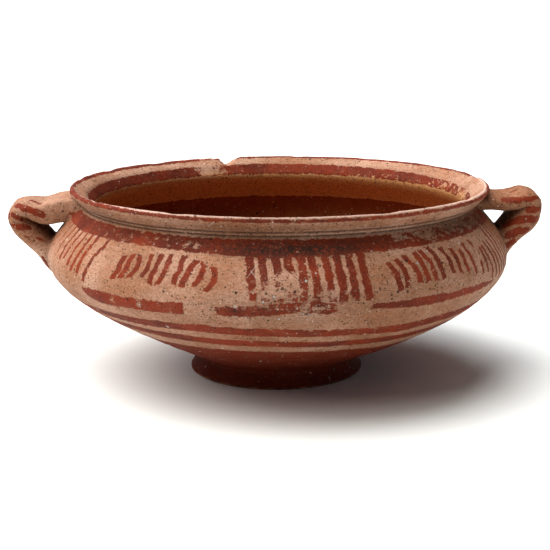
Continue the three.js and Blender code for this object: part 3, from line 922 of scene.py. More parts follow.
class Vessel:
    """The whole pot as one skin: body, handles, chips, and what the paint needs to know."""

    TURNS = 372

    def __init__(self, sizes: BodySizes) -> None:
        self.sizes = sizes
        self.outline = Outline(sizes)
        plain = Warp(sizes, 0.0)
        axis = (LEFT_HANDLE.reach - RIGHT_HANDLE.reach) / 2 - float(plain.lean(sizes.throat_height))
        self.warp = Warp(sizes, axis)
        self.straps = [Strap(s, self.outline, self.warp) for s in (LEFT_HANDLE, RIGHT_HANDLE)]
        self.object = self._join()
        self._fillet()
        self._write_fields()

    def _body_points(self, rows: Array) -> Array:
        """Points of the turned wall, row by row, with its grooves, ridges and nicks.

        Args:
            rows: Path length of each row.

        Returns:
            Points in millimetres, without the two poles.
        """
        s = self.sizes
        profile, normal = self.outline.at(rows), self.outline.normal(rows)
        angle = np.arange(self.TURNS) * 2 * math.pi / self.TURNS
        ridge = self._turning_marks(rows)
        out = np.empty((len(rows), self.TURNS, 3))
        for i, (r, z) in enumerate(profile):
            at = np.stack([r * np.cos(angle), r * np.sin(angle), np.full_like(angle, z)], axis=1)
            slow = np.array([noise.noise(Vector(p) / 34.0) for p in at])
            quick = np.array([noise.noise(Vector(p) / 6.5) for p in at])
            push = 0.26 * slow + 0.10 * quick + ridge[i]
            out[i, :, 0] = np.cos(angle) * (r + normal[i, 0] * push)
            out[i, :, 1] = np.sin(angle) * (r + normal[i, 0] * push)
            out[i, :, 2] = z + normal[i, 1] * push
        flat = out.reshape(-1, 3)
        flat[:, 2] -= self._nick_drop(flat)
        low = flat[:, 2] < 1.2
        flat[low, 2] = np.maximum(flat[low, 2], 0.0)
        return self.warp.apply(flat)

    def _turning_marks(self, rows: Array) -> Array:
        """Grooves of the rim and faint ridges left by turning, as push out of the clay."""
        s, outline = self.sizes, self.outline
        push = np.zeros(len(rows))
        for drop in s.groove_drops:
            centre = outline.outer_path(s.height - drop)
            off = np.abs(rows - centre) / (s.groove_width / 2)
            push -= s.groove_depth * np.clip(1 - off ** 2, 0, 1)
        wall = smoothstep(outline.outer_path(10), outline.outer_path(16), rows)
        wall *= 1 - smoothstep(outline.outer_path(84), outline.outer_path(86), rows)
        push += wall * (0.05 * np.sin(rows * 1.35) + 0.06 * np.sin(rows * 0.61 + 1.0) + 0.05 * np.sin(rows * 2.3 + 2.0))
        inside = smoothstep(outline.inner_path(84), outline.inner_path(80), rows)
        push += inside * (0.10 * np.sin(rows * 0.9) + 0.07 * np.sin(rows * 0.43 + 0.7))
        return push

    def _nick_drop(self, points: Array) -> Array:
        """How far worn places lower the lip at each point."""
        s = self.sizes
        angle = np.degrees(np.arctan2(points[:, 1], points[:, 0])) % 360
        near_lip = smoothstep(s.height - 3.4, s.height - 0.3, points[:, 2])
        drop = np.zeros(len(points))
        for nick in NICKS:
            off = np.abs((angle - nick.angle + 180) % 360 - 180) / nick.half_length
            drop += nick.depth * np.clip(1 - off ** 2, 0, 1) ** 1.5
        for i in np.nonzero(near_lip > 0)[0]:
            drop[i] += 0.2 * max(0.0, noise.noise(Vector(points[i]) / 3.1) + 0.1)
        return drop * near_lip

    def _body_mesh(self) -> bpy.types.Mesh:
        """The turned body as a closed mesh in metres."""
        rows = self.outline.rows()[1:-1]
        points = self._body_points(rows)
        n, m = len(rows), self.TURNS
        ends = self.warp.apply(np.array([[0, 0, self.sizes.foot_recess], [0, 0, self.sizes.foot_recess + self.sizes.floor]]))
        faces: list[tuple[int, ...]] = []
        for i in range(n - 1):
            for k in range(m):
                a, b = i * m + k, i * m + (k + 1) % m
                faces.append((a, b, b + m, a + m))
        bottom, top = n * m, n * m + 1
        for k in range(m):
            after = (k + 1) % m
            faces.append((bottom, after, k))
            faces.append((top, (n - 1) * m + k, (n - 1) * m + after))
        mesh = bpy.data.meshes.new("body")
        mesh.from_pydata((np.concatenate([points, ends]) * MM).tolist(), [], faces)
        mesh.update()
        return mesh

    def _chip_mesh(self, chip: Chip) -> bpy.types.Mesh:
        """The missing wedge of one chip, its floor broken unevenly."""
        s = self.sizes
        rim = s.rim_diameter / 2
        outline = np.array(chip.outline)
        dense = []
        for a, b in zip(outline, np.roll(outline, -1, axis=0)):
            count = max(2, int(np.hypot(*(b - a)) / 0.8))
            dense += [a + (b - a) * k / count for k in range(count)]
        ring = np.array(dense)
        steps = 30
        points = []
        for k in range(steps + 1):
            out = rim + chip.reach_out - (chip.reach_in + chip.reach_out) * k / steps
            for run, rise in ring:
                jag = 0.0 if rise > 0.5 else 0.7 * noise.noise(Vector((run, rise, out)) / 1.9)
                points.append((run + jag, out, s.height + rise + jag * 0.8))
        points = np.array(points)
        turn = math.radians(chip.angle) - math.pi / 2
        x = points[:, 0] * math.cos(turn) - points[:, 1] * math.sin(turn)
        y = points[:, 0] * math.sin(turn) + points[:, 1] * math.cos(turn)
        points = self.warp.apply(np.stack([x, y, points[:, 2]], axis=1))
        m = len(ring)
        faces: list[tuple[int, ...]] = []
        for i in range(steps):
            for k in range(m):
                a, b = i * m + k, i * m + (k + 1) % m
                faces.append((a, b, b + m, a + m))
        faces.append(tuple(reversed(range(m))))
        faces.append(tuple(range(steps * m, steps * m + m)))
        mesh = bpy.data.meshes.new("chip")
        mesh.from_pydata((points * MM).tolist(), [], faces)
        mesh.update()
        editable = bmesh.new()
        editable.from_mesh(mesh)
        bmesh.ops.recalc_face_normals(editable, faces=editable.faces)
        editable.to_mesh(mesh)
        editable.free()
        return mesh

    def _join(self) -> bpy.types.Object:
        """Join body and handles into one skin and break the chips out of it."""
        bowl = bpy.data.objects.new("bowl_skin", self._body_mesh())
        bpy.context.collection.objects.link(bowl)
        tools: list[tuple[bpy.types.Object, str]] = []
        for strap in self.straps:
            tools.append((bpy.data.objects.new(f"strap_{strap.sizes.name}", strap.mesh()), "UNION"))
        for i, chip in enumerate(CHIPS):
            tools.append((bpy.data.objects.new(f"chip_{i}", self._chip_mesh(chip)), "DIFFERENCE"))
        for tool, operation in tools:
            bpy.context.collection.objects.link(tool)
            step = bowl.modifiers.new(tool.name, "BOOLEAN")
            step.operation = operation
            step.object = tool
            step.solver = "MANIFOLD"
        graph = bpy.context.evaluated_depsgraph_get()
        joined = bpy.data.meshes.new_from_object(bowl.evaluated_get(graph))
        bowl.modifiers.clear()
        old, bowl.data = bowl.data, joined
        joined.name = "bowl_skin"
        bpy.data.meshes.remove(old)
        for tool, _ in tools:
            data = tool.data
            bpy.data.objects.remove(tool)
            bpy.data.meshes.remove(data)
        self._drop_flakes(joined)
        return bowl

    @staticmethod
    def _drop_flakes(mesh: bpy.types.Mesh) -> None:
        """Merge corners that coincide and drop faces without area."""
        editable = bmesh.new()
        editable.from_mesh(mesh)
        bmesh.ops.remove_doubles(editable, verts=editable.verts, dist=0.02 * MM)
        bmesh.ops.dissolve_degenerate(editable, edges=editable.edges, dist=0.01 * MM)
        editable.to_mesh(mesh)
        editable.free()
        mesh.update()

    def _points(self) -> Array:
        """The skin's corners in millimetres."""
        mesh = self.object.data
        flat = np.empty(len(mesh.vertices) * 3)
        mesh.vertices.foreach_get("co", flat)
        return flat.reshape(-1, 3) / MM

    def _round(self, points: Array) -> tuple[Array, Array, Array, Array]:
        """Angle, radius and height on the true round body, and the true round points."""
        true = self.warp.undo(points)
        return (np.degrees(np.arctan2(true[:, 1], true[:, 0])), np.hypot(true[:, 0], true[:, 1]), true[:, 2], true)

    def _strap_distance(self, points: Array) -> tuple[Array, Array]:
        """Distance of each point to the nearest strap, and that strap's side."""
        near, side = np.full(len(points), 99.0), np.zeros(len(points))
        for strap in self.straps:
            tree = KDTree(len(strap.points))
            for i, p in enumerate(strap.points):
                tree.insert(p, i)
            tree.balance()
            low, high = strap.points.min(axis=0) - 12, strap.points.max(axis=0) + 12
            for i in np.nonzero(np.all((points > low) & (points < high), axis=1))[0]:
                near[i], side[i] = tree.find(points[i])[2], strap.sizes.side
        return near, side

    def _fillet(self, reach: float = 3.2, rounds: int = 14) -> None:
        """Smooth the skin where the straps meet the wall, as fingers smear wet clay."""
        points = self._points()
        _, radius, height, _ = self._round(points)
        wall = np.abs(radius - self.outline.outer_radius(height))
        near, _ = self._strap_distance(points)
        outside = radius > self.outline.outer_radius(height) - 2.0
        seam = np.maximum(wall, np.maximum(near - 0.7, 0.0))
        weight = np.where(outside, np.exp(-(seam / reach) ** 2), 0.0)
        weight *= 1 - 0.75 * smoothstep(84.0, 88.0, height)
        mesh = self.object.data
        edges = np.empty(len(mesh.edges) * 2, dtype=np.int64)
        mesh.edges.foreach_get("vertices", edges)
        a, b = edges.reshape(-1, 2).T
        count = np.bincount(a, minlength=len(points)) + np.bincount(b, minlength=len(points))
        for _ in range(rounds):
            total = np.zeros_like(points)
            np.add.at(total, a, points[b])
            np.add.at(total, b, points[a])
            mean = total / np.maximum(count, 1)[:, None]
            points += 0.6 * weight[:, None] * (mean - points)
        mesh.vertices.foreach_set("co", (points * MM).ravel())
        mesh.update()

    def _write_fields(self) -> None:
        """Store on each corner where it lies on the wall, in the painted rows and on the straps."""
        points = self._points()
        angle, radius, height, true = self._round(points)
        lift = points[:, 2] - true[:, 2]
        path, off = self.outline.nearest(radius, height)
        near, side = self._strap_distance(points)
        strap = smoothstep(-0.6, 0.9, off - near)
        outer = path < self.outline.lip_path
        self._store("wall", np.stack([path, angle, strap], axis=1))
        self._store("bands", self._band_depth(angle, radius, path, lift) - 20.0 * strap)
        places = count_strokes(ROWS, angle, height + lift, radius)
        shoulder = (path > self.outline.outer_path(52)) & (path < self.outline.outer_path(88))
        places[:, 2] = np.where(shoulder, places[:, 2] - 20.0 * strap, -9.0)
        self._store("rows", places)
        self._store("stripe", self._stripe_depth(points, side))
        self._store("worn", self._blobs(WORN_PLACES, angle, radius, height, outer))
        self._store("crust", self._blobs(CRUST_PLACES, angle, radius, height, outer) * (1 - strap))
        groove = np.zeros(len(points))
        for drop in self.sizes.groove_drops:
            middle = self.outline.outer_path(self.sizes.height - drop)
            groove = np.maximum(groove, np.clip(1.2 - np.abs(path - middle) / 0.75, 0, 1) * outer)
        self._store("groove", groove * (1 - strap))
        # Stains from the listed places, and painted shade: below the belly, most at the front, and strongly on the foot
        # beneath the body.
        stain_and_shade = self._blobs(STAINS_AND_PAINTED_SHADE, angle, radius, height, outer)
        painted_shade_below = (1 - smoothstep(52.0, 58.0, height)) * outer * (0.42 + 0.4 * np.exp(-((angle + 82.0) / 36.0) ** 2))
        painted_shade_below = np.maximum(painted_shade_below, 3.0 * (1 - smoothstep(8.5, 11.5, height)) * outer)
        self._store("stain_and_shade", np.maximum(stain_and_shade, painted_shade_below))
        seam = np.exp(-(np.maximum(near - 0.8, off) / 1.6) ** 2)
        self._store("seam", np.where(outer, seam, 0.0))
        self._store("scar", self._scars(angle, radius, height, off))

    def _band_depth(self, angle: Array, radius: Array, path: Array, lift: Array) -> Array:
        """Distance inside the nearest painted band in millimetres, minus outside it."""
        depth = np.full(len(path), -9.0)
        for band in BANDS:
            at, low, high = np.array(band.stations).T
            period = 360.0 if band.whole else None
            low, high = np.interp(angle, at, low, period=period), np.interp(angle, at, high, period=period)
            low, high = low - lift, high - lift
            if band.face is Face.OUTER:
                start, end = self.outline.outer_paths(low), self.outline.outer_paths(high)
            else:
                start, end = self.outline.inner_paths(high), self.outline.inner_paths(low)
            inside = np.minimum(path - start, end - path)
            if not band.whole:
                run = np.radians(np.minimum(angle - at[0], at[-1] - angle)) * radius
                inside = np.minimum(inside, run)
            depth = np.maximum(depth, inside)
        return depth

    @staticmethod
    def _stripe_depth(points: Array, side: Array) -> Array:
        """Distance inside the nearest dash on a handle in millimetres, minus outside it."""
        depth = np.full(len(points), -9.0)
        for sign, stripes in ((-1, LEFT_STRIPES), (1, RIGHT_STRIPES)):
            where = np.nonzero(side == sign)[0]
            for stripe in [s for stripe in stripes for s in (stripe, stripe.behind())]:
                for a, b in zip(stripe.points, stripe.points[1:]):
                    start, run = np.array(a), np.array(b) - np.array(a)
                    share = np.clip((points[where] - start) @ run / (run @ run), 0, 1)
                    away = np.linalg.norm(points[where] - start - share[:, None] * run, axis=1)
                    depth[where] = np.maximum(depth[where], stripe.half - away)
        return depth

    def _blobs(self, places: Sequence, angle: Array, radius: Array, height: Array, outer: Array) -> Array:
        """How strongly each point lies in one of some round places."""
        found = np.zeros(len(angle))
        for place in places:
            run = np.radians((angle - place.angle + 180) % 360 - 180) * radius / place.half_run
            rise = (height - place.height) / place.half_rise
            here = outer if getattr(place, "face", Face.OUTER) is Face.OUTER else ~outer
            found = np.maximum(found, place.strength * np.exp(-0.8 * (run * run + rise * rise)) * here)
        return found

    def _scars(self, angle: Array, radius: Array, height: Array, off: Array) -> Array:
        """Where the clay is freshly broken, in the chips of the lip."""
        scar = np.zeros(len(angle))
        for chip in CHIPS:
            run = np.radians((angle - chip.angle + 180) % 360 - 180) * radius
            hit = (np.abs(run - 1.5) < 11.5) & (height > self.sizes.height - 6) & (off > 0.3)
            scar = np.maximum(scar, hit * 1.0)
        return scar

    def _store(self, name: str, values: Array) -> None:
        """Keep one value or vector per corner under a name."""
        kind = "FLOAT" if values.ndim == 1 else "FLOAT_VECTOR"
        layer = self.object.data.attributes.new(name, kind, "POINT")
        layer.data.foreach_set("value" if kind == "FLOAT" else "vector", np.ascontiguousarray(values, dtype=np.float32).ravel())


@dataclass(frozen=True)
class ClayFinish:
    """Colours and roughness of the bare fired clay."""

    light: Colour = srgb(219, 177, 154)
    dark: Colour = srgb(181, 131, 101)
    warm: Colour = srgb(188, 118, 76)
    # Pale lip top: worn clay, lightened further as a painted highlight.
    lip: Colour = srgb(228, 194, 180)
    # Tint multiplied in for mottling, streaks and stains, and for painted shade.
    stain_and_shade_tint: Colour = (0.62, 0.51, 0.42)
    # Brighter, warmer clay for the inside, as painted light: it stands in for light bounced inside the bowl.
    inside: Colour = srgb(228, 170, 108)
    shade: Colour = (0.79, 0.79, 0.79)
    roughness: float = 0.82


@dataclass(frozen=True)
class PaintFinish:
    """Colours of the red-brown slip, and how much of it is worn."""

    red: Colour = srgb(138, 50, 23)
    deep: Colour = srgb(102, 34, 16)
    # Darker, deeper red for the lower body and foot, as painted shade.
    low: Colour = srgb(118, 37, 9)
    floor: Colour = srgb(140, 70, 34)
    roughness: float = 0.7


@dataclass(frozen=True)
class CrustFinish:
    """Colours of what the ground left on the clay; the dark one also darkens the rim's grooves and the joins of straps
    and wall.
    """

    dark: Colour = srgb(54, 34, 26)
    pale: Colour = srgb(206, 186, 172)
    grey: Colour = srgb(120, 98, 86)


@dataclass(frozen=True)
class FloorFinish:
    """The plain pale floor."""

    colour: Colour = (0.88, 0.94, 0.96)
    roughness: float = 0.9


class Nodes:
    """Small helper that adds shader nodes and links them."""

    def __init__(self, name: str) -> None:
        self.material = bpy.data.materials.new(name)
        self.material.use_nodes = True
        self.tree = self.material.node_tree
        self.tree.nodes.clear()

    def node(self, kind: str, **settings: object) -> bpy.types.Node:
        """Add a node and set its properties."""
        made = self.tree.nodes.new(kind)
        for key, value in settings.items():
            setattr(made, key, value)
        return made

    def put(self, socket: bpy.types.NodeSocket, value: object) -> None:
        """Link a socket to another one, or set its number or colour."""
        if isinstance(value, bpy.types.NodeSocket):
            self.tree.links.new(value, socket)
        elif isinstance(value, tuple) and len(value) == 3 and socket.type == "RGBA":
            socket.default_value = (*value, 1.0)
        else:
            socket.default_value = value

    def math(self, operation: str, *values: object, clamp: bool = False) -> bpy.types.NodeSocket:
        """Add a math node."""
        made = self.node("ShaderNodeMath", operation=operation, use_clamp=clamp)
        for socket, value in zip(made.inputs, values):
            self.put(socket, value)
        return made.outputs[0]

    def step(self, value: object, low: float, high: float) -> bpy.types.NodeSocket:
        """Ease from 0 at low to 1 at high."""
        made = self.node("ShaderNodeMapRange", interpolation_type="SMOOTHSTEP")
        for name, given in (("Value", value), ("From Min", low), ("From Max", high)):
            self.put(made.inputs[name], given)
        return made.outputs[0]

    def between(self, value: object, low: float, high: float) -> bpy.types.NodeSocket:
        """Distance inside a stretch from low to high, minus outside it."""
        return self.math("MINIMUM", self.math("SUBTRACT", value, low), self.math("SUBTRACT", high, value))

    def mix(self, share: object, first: object, second: object) -> bpy.types.NodeSocket:
        """Mix two colours."""
        made = self.node("ShaderNodeMix", data_type="RGBA")
        self.put(made.inputs[0], share)
        self.put(made.inputs[6], first)
        self.put(made.inputs[7], second)
        return made.outputs[2]

    def noise(self, where: object, scale: float, detail: float = 3.0, roughness: float = 0.55) -> bpy.types.NodeSocket:
        """Cloudy noise of 0 to 1; scale counts waves per metre."""
        made = self.node("ShaderNodeTexNoise")
        for name, given in (("Vector", where), ("Scale", scale), ("Detail", detail), ("Roughness", roughness)):
            self.put(made.inputs[name], given)
        return made.outputs["Fac"]

    def cells(self, where: object, scale: float) -> bpy.types.Node:
        """Cells with their distance and a random colour; scale counts cells per metre."""
        made = self.node("ShaderNodeTexVoronoi")
        self.put(made.inputs["Vector"], where)
        self.put(made.inputs["Scale"], scale)
        return made

    def stored(self, name: str) -> bpy.types.Node:
        """Read what a mesh stores on its corners."""
        return self.node("ShaderNodeAttribute", attribute_type="GEOMETRY", attribute_name=name)

    def split(self, vector: object) -> tuple[bpy.types.NodeSocket, ...]:
        """The three numbers of a vector."""
        made = self.node("ShaderNodeSeparateXYZ")
        self.put(made.inputs[0], vector)
        return tuple(made.outputs)

    def multiply(self, first: object, second: object) -> bpy.types.NodeSocket:
        """Multiply two colours."""
        made = self.node("ShaderNodeMix", data_type="RGBA", blend_type="MULTIPLY")
        self.put(made.inputs[0], 1.0)
        self.put(made.inputs[6], first)
        self.put(made.inputs[7], second)
        return made.outputs[2]

    def distance(self, where: object, place: tuple[float, float, float]) -> bpy.types.NodeSocket:
        """Distance in metres to a place given in millimetres."""
        made = self.node("ShaderNodeVectorMath", operation="DISTANCE")
        self.put(made.inputs[0], where)
        self.put(made.inputs[1], tuple(value * MM for value in place))
        return made.outputs["Value"]

    def segment(self, where: object, start: tuple[float, float, float],
                end: tuple[float, float, float]) -> bpy.types.NodeSocket:
        """Distance in metres to a straight line between two places given in millimetres."""
        run = (Vector(end) - Vector(start)) * MM
        off, share, along, away = (self.node("ShaderNodeVectorMath", operation=kind)
                                   for kind in ("SUBTRACT", "DOT_PRODUCT", "SCALE", "DISTANCE"))
        self.put(off.inputs[0], where)
        self.put(off.inputs[1], tuple(Vector(start) * MM))
        self.put(share.inputs[0], off.outputs[0])
        self.put(share.inputs[1], tuple(run / run.length_squared))
        self.put(along.inputs[0], tuple(run))
        self.put(along.inputs["Scale"], self.math("ADD", share.outputs["Value"], 0.0, clamp=True))
        self.put(away.inputs[0], off.outputs[0])
        self.put(away.inputs[1], along.outputs[0])
        return away.outputs["Value"]

    def stretched(self, where: object, scale: tuple[float, float, float]) -> bpy.types.NodeSocket:
        """Scale a place by an amount for each axis."""
        made = self.node("ShaderNodeVectorMath", operation="MULTIPLY")
        self.put(made.inputs[0], where)
        self.put(made.inputs[1], scale)
        return made.outputs[0]


class PotteryLook:
    """The one material of the pot: bare clay, painted rows and bands, wear and crust."""

    def __init__(self, outline: Outline, clay: ClayFinish, paint: PaintFinish, crust: CrustFinish) -> None:
        self.outline = outline
        self.clay, self.paint, self.crust = clay, paint, crust
        self.n = Nodes("painted_clay")
        self.place = self.n.node("ShaderNodeTexCoord").outputs["Object"]
        wall = self.n.split(self.n.stored("wall").outputs["Vector"])
        self.path, self.angle, self.strap = wall
        self.material = self._build()

    def _bands(self) -> bpy.types.NodeSocket:
        """Depth inside the nearest painted band in millimetres."""
        n = self.n
        wobble = n.math("MULTIPLY", n.math("SUBTRACT", n.noise(self.place, 90.0, 4.0), 0.5), 1.2)
        return n.math("ADD", n.stored("bands").outputs["Fac"], wobble)

    def _rows(self) -> bpy.types.NodeSocket:
        """Depth inside the nearest painted stroke in millimetres."""
        n = self.n
        position, half, end = n.split(n.stored("rows").outputs["Vector"])
        off = n.math("ABSOLUTE", n.math("SUBTRACT", position, n.math("ROUND", position)))
        side = n.math("MULTIPLY_ADD", n.math("SUBTRACT", half, off), 5.6, -0.22)
        return n.math("MINIMUM", side, end)

    def _cover(self, fine: bpy.types.NodeSocket) -> bpy.types.NodeSocket:
        """How much slip still covers each place."""
        n, place = self.n, self.place
        edge = n.math("ADD", n.math("MULTIPLY", n.math("SUBTRACT", fine, 0.5), 1.6),
                      n.math("MULTIPLY", n.math("SUBTRACT", n.noise(place, 300.0, 2.0), 0.5), 2.4))
        depth = n.math("MAXIMUM", n.math("MAXIMUM", self._bands(), self._rows()), n.stored("stripe").outputs["Fac"])
        cover = n.step(n.math("ADD", depth, edge), -0.25, 0.25)
        worn = n.stored("worn").outputs["Fac"]
        patch = n.math("ADD", n.noise(n.stretched(place, (0.8, 0.8, 1.25)), 330.0, 5.0, 0.75), n.math("MULTIPLY", worn, 0.27))
        loss = n.step(patch, 0.625, 0.7)
        flecks = n.step(n.noise(place, 1100.0, 2.0, 0.6), 0.64, 0.7)
        kept = n.math("SUBTRACT", 1.0, n.math("MAXIMUM", loss, n.math("MULTIPLY", flecks, 0.5)))
        kept = n.math("MULTIPLY", kept, n.math("SUBTRACT", 1.0, n.stored("scar").outputs["Fac"]))
        thin = n.math("MULTIPLY_ADD", n.step(n.noise(place, 140.0, 4.0, 0.65), 0.35, 0.7), -0.06, 1.0)
        return n.math("MULTIPLY", n.math("MULTIPLY", cover, kept), thin)

    def _bare(self, cloud: object, turned: object, grain: object) -> bpy.types.NodeSocket:
        """Colour of the clay without slip."""
        n, clay, o = self.n, self.clay, self.outline
        bare = n.mix(n.step(cloud, 0.3, 0.7), clay.dark, clay.light)
        bare = n.mix(n.math("MULTIPLY", n.step(turned, 0.45, 0.75), 0.4), bare, clay.warm)
        # Painted light: the clay inside below the rim takes the brighter, warmer inside colour.
        inside = n.step(self.path, o.inner_path(91.0), o.inner_path(84.0))
        bare = n.mix(inside, bare, clay.inside)
        mottle = n.step(n.noise(n.stretched(self.place, (0.8, 0.8, 1.3)), 1000.0, 3.0, 0.8), 0.5, 0.62)
        bare = n.mix(n.math("MULTIPLY", mottle, 0.6), bare, n.multiply(bare, clay.stain_and_shade_tint))
        bare = n.mix(n.math("MULTIPLY", n.step(grain, 0.55, 0.66), 0.6), bare, self.crust.grey)
        streaks = n.step(n.noise(n.stretched(self.place, (0.5, 0.5, 1.4)), 1000.0, 3.0, 0.8), 0.47, 0.6)
        bare = n.mix(n.math("MULTIPLY", streaks, 0.62), bare, n.multiply(bare, clay.stain_and_shade_tint))
        # Painted highlight, partly wear: the clay along the lip's top turns pale.
        top = n.math("SUBTRACT", 1.5, n.math("ABSOLUTE", n.math("SUBTRACT", self.path, o.lip_path)))
        return n.mix(n.math("MULTIPLY", n.step(top, 0.0, 0.6), 0.9), bare, clay.lip)

    def _slip(self) -> bpy.types.NodeSocket:
        """Colour of the slip."""
        n, paint, o = self.n, self.paint, self.outline
        red = n.mix(n.step(n.noise(self.place, 60.0, 4.0, 0.6), 0.35, 0.7), paint.red, paint.deep)
        # Painted shade: below about 30 mm the slip turns to the darker, deeper red.
        painted_shade_lower_body = n.step(self.path, o.outer_path(33.0), o.outer_path(30.0))
        red = n.mix(painted_shade_lower_body, red, paint.low)
        return n.mix(n.step(self.path, o.inner_path(74.0), o.inner_path(70.0)), red, paint.floor)

    def _specks(self, colour: bpy.types.NodeSocket) -> tuple[bpy.types.NodeSocket, bpy.types.NodeSocket]:
        """Scatter dark pits and pale grains over the colour, and return how deep they lie too."""
        n, crust = self.n, self.crust
        pits: object = 0.0
        for scale, size, dark, pale in ((290.0, 0.24, 0.84, 0.035), (850.0, 0.42, 0.6, 0.04)):
            cells = n.cells(self.place, scale)
            pick = n.split(cells.outputs["Color"])
            dot = n.math("LESS_THAN", cells.outputs["Distance"], n.math("MULTIPLY", pick[1], size))
            dark_dot = n.math("MULTIPLY", dot, n.math("GREATER_THAN", pick[0], dark))
            pale_dot = n.math("MULTIPLY", dot, n.math("LESS_THAN", pick[0], pale))
            colour = n.mix(n.math("MULTIPLY", dark_dot, 0.8), colour, crust.dark)
            colour = n.mix(n.math("MULTIPLY", pale_dot, 0.75), colour, crust.pale)
            pits = n.math("MAXIMUM", pits, n.math("MAXIMUM", dark_dot, pale_dot))
        for speck in SPECKS:
            away = n.distance(self.place, speck.place)
            dot = n.step(away, speck.radius * MM, speck.radius * 0.6 * MM)
            rim = n.step(away, speck.radius * 1.3 * MM, speck.radius * 0.9 * MM)
            if not speck.dark:
                colour = n.mix(n.math("MULTIPLY", rim, 0.6), colour, crust.dark)
            colour = n.mix(n.math("MULTIPLY", dot, 0.9), colour, crust.dark if speck.dark else crust.pale)
            pits = n.math("MAXIMUM", pits, dot)
        for start, end in SCRATCHES:
            line = n.step(n.segment(self.place, start, end), 0.0004, 0.00015)
            colour = n.mix(n.math("MULTIPLY", line, 0.45), colour, crust.pale)
        return colour, pits

    def _build(self) -> bpy.types.Material:
        """Make the shader."""
        n, clay, paint, crust = self.n, self.clay, self.paint, self.crust
        place = self.place
        fine = n.noise(place, 900.0, 3.0, 0.65)
        grain = n.noise(place, 1500.0, 2.0, 0.7)
        cloud = n.noise(place, 28.0, 4.0, 0.6)
        turned = n.noise(n.stretched(place, (0.12, 0.12, 1.0)), 420.0, 3.0, 0.6)

        cover = self._cover(fine)
        colour = n.mix(cover, self._bare(cloud, turned, grain), self._slip())
        # Stains and painted shade: the stored field darkens the clay with the tint, less where slip covers it.
        stain_and_shade = n.math("MULTIPLY", n.stored("stain_and_shade").outputs["Fac"], n.step(n.noise(place, 70.0, 4.0, 0.6), 0.15, 0.5))
        stain_and_shade = n.math("MULTIPLY", stain_and_shade, n.math("MULTIPLY_ADD", cover, -0.75, 1.0))
        colour = n.mix(stain_and_shade, colour, n.multiply(colour, clay.stain_and_shade_tint))
        colour, pits = self._specks(colour)
        dirt = n.math("MULTIPLY", n.stored("crust").outputs["Fac"], n.step(n.noise(place, 700.0, 4.0, 0.75), 0.34, 0.56))
        colour = n.mix(n.math("MULTIPLY", dirt, 0.88), colour, crust.dark)
        # Darker inside the rim's two grooves.
        groove_darkening = n.math("MULTIPLY", n.stored("groove").outputs["Fac"], n.step(n.noise(place, 160.0, 3.0, 0.6), 0.22, 0.42))
        colour = n.mix(n.math("MULTIPLY", groove_darkening, 0.95), colour, crust.dark)
        # Darker along the join of strap and wall.
        seam = n.math("MULTIPLY", n.stored("seam").outputs["Fac"], n.step(fine, 0.3, 0.6))
        colour = n.mix(n.math("MULTIPLY", seam, 0.45), colour, crust.dark)

        bump = n.node("ShaderNodeBump")
        n.put(bump.inputs["Strength"], 0.6)
        n.put(bump.inputs["Distance"], 0.0006)
        height = n.math("ADD", n.math("MULTIPLY", fine, 0.6), n.math("MULTIPLY", grain, 0.4))
        height = n.math("ADD", height, n.math("MULTIPLY", turned, 0.35))
        height = n.math("ADD", height, n.math("MULTIPLY", cover, 0.12))
        height = n.math("SUBTRACT", height, pits)
        n.put(bump.inputs["Height"], height)

        shader = n.node("ShaderNodeBsdfPrincipled")
        n.put(shader.inputs["Base Color"], n.multiply(colour, clay.shade))
        rough = n.node("ShaderNodeMix", data_type="FLOAT")
        n.put(rough.inputs[0], cover)
        n.put(rough.inputs[2], clay.roughness)
        n.put(rough.inputs[3], paint.roughness)
        n.put(shader.inputs["Roughness"], rough.outputs[0])
        n.put(shader.inputs["Specular IOR Level"], 0.1)
        n.put(shader.inputs["Normal"], bump.outputs[0])
        n.put(n.node("ShaderNodeOutputMaterial").inputs["Surface"], shader.outputs[0])
        return n.material


def plain_material(name: str, finish: FloorFinish) -> bpy.types.Material:
    """A material of one colour.

    Args:
        name: Its name.
        finish: Its colour and roughness.

    Returns:
        The material.
    """
    material = bpy.data.materials.new(name)
    material.use_nodes = True
    shader = material.node_tree.nodes["Principled BSDF"]
    shader.inputs["Base Color"].default_value = (*finish.colour, 1.0)
    shader.inputs["Roughness"].default_value = finish.roughness
    shader.inputs["Specular IOR Level"].default_value = 0.0
    return material


@dataclass(frozen=True)
class Lamp:
    """A far soft lamp: where it stands in degrees, how wide it looks, its strength and colour."""

    name: str
    azimuth: float
    elevation: float
    width: float
    strength: float
    colour: Colour = (1.0, 1.0, 1.0)


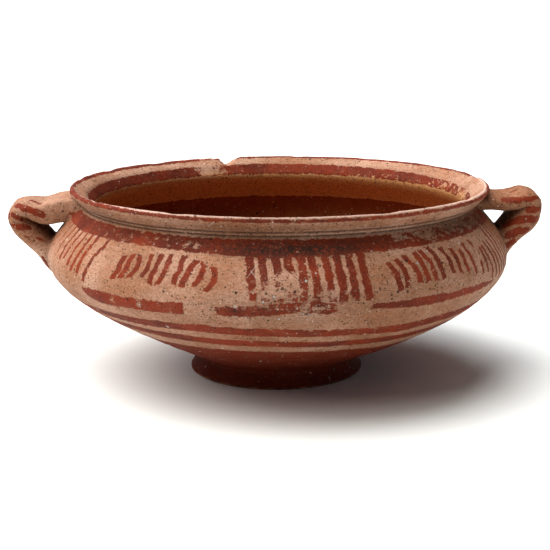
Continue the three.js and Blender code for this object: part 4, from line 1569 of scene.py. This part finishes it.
@dataclass(frozen=True)
class Stage:
    """Floor, light and camera round the pot."""

    floor_size: float = 60.0
    sky: float = 0.12
    sky_colour: Colour = (0.92, 0.96, 1.0)
    lamps: tuple[Lamp, ...] = (
        Lamp("back_left", 152.0, 64.0, 80.0, 3.95, (1.0, 0.975, 0.95)),
        Lamp("front_left", 205.0, 60.0, 65.0, 2.65, (1.0, 0.91, 0.82)),
    )
    camera_place: tuple[float, float, float] = (0.0, -0.6995, 0.2068)
    camera_tilt: float = 77.21
    lens: float = 91.55
    sensor: float = 36.0

    def build(self) -> bpy.types.Object:
        """Make floor, lamps, world and camera.

        Returns:
            The floor.
        """
        half = self.floor_size / 2
        mesh = bpy.data.meshes.new("floor")
        mesh.from_pydata([(-half, -half, 0), (half, -half, 0), (half, half, 0), (-half, half, 0)], [], [(0, 1, 2, 3)])
        floor = bpy.data.objects.new("floor", mesh)
        bpy.context.collection.objects.link(floor)
        floor.data.materials.append(plain_material("pale_floor", FloorFinish()))
        for lamp in self.lamps:
            self._light(lamp)
        self._world()
        self._camera()
        bpy.context.scene.view_settings.view_transform = "Standard"
        return floor

    def _light(self, lamp: Lamp) -> None:
        """Add one lamp."""
        data = bpy.data.lights.new(lamp.name, "SUN")
        data.angle = math.radians(lamp.width)
        data.energy = lamp.strength
        data.color = lamp.colour
        light = bpy.data.objects.new(lamp.name, data)
        turn, tilt = math.radians(lamp.azimuth), math.radians(lamp.elevation)
        toward = Vector((math.cos(turn) * math.cos(tilt), math.sin(turn) * math.cos(tilt), math.sin(tilt)))
        light.rotation_euler = toward.to_track_quat("Z", "Y").to_euler()
        bpy.context.collection.objects.link(light)

    def _world(self) -> None:
        """Give the scene an even pale sky."""
        world = bpy.data.worlds.new("studio")
        world.use_nodes = True
        shader = world.node_tree.nodes["Background"]
        shader.inputs["Color"].default_value = (*self.sky_colour, 1.0)
        shader.inputs["Strength"].default_value = self.sky
        bpy.context.scene.world = world

    def _camera(self) -> None:
        """Put the camera where the photo was taken from."""
        data = bpy.data.cameras.new("camera")
        data.lens = self.lens
        data.sensor_width = self.sensor
        camera = bpy.data.objects.new("camera", data)
        camera.location = self.camera_place
        camera.rotation_euler = (math.radians(self.camera_tilt), 0.0, 0.0)
        bpy.context.collection.objects.link(camera)
        bpy.context.scene.camera = camera


def write_sizes(before: object, after: object) -> None:
    """Put the bounds of the plain part and of the dressed one into a dict, which is then dropped.

    Args:
        before: Bounds of the part before it was dressed.
        after: Bounds of what is shown now.
    """
    def plain(value: object) -> object:
        if isinstance(value, dict):
            return {key: plain(item) for key, item in value.items()}
        if isinstance(value, (Vector, list, tuple, np.ndarray)):
            return [plain(item) for item in value]
        return value if isinstance(value, str) else float(value)
    {"cad": plain(before), "scene": plain(after)}


def main() -> None:
    """Build the pot, its look and its surroundings."""
    logging.basicConfig(level=logging.INFO, format="%(message)s")
    noise.seed_set(HAND_SEED)
    vessel = Vessel(BodySizes())
    look = PotteryLook(vessel.outline, ClayFinish(), PaintFinish(), CrustFinish())
    pot = vessel.object
    pot.data.materials.clear()
    pot.data.materials.append(look.material)
    pot.data.shade_smooth()
    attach(pot, "root")
    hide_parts("bowl")
    LOG.info("bowl skin: %d corners, %d faces", len(pot.data.vertices), len(pot.data.polygons))
    floor = Stage().build()
    floor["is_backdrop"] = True
    LOG.info("floor and light set")
    write_sizes(CAD_BOX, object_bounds())


if __name__ == "__main__":
    main()
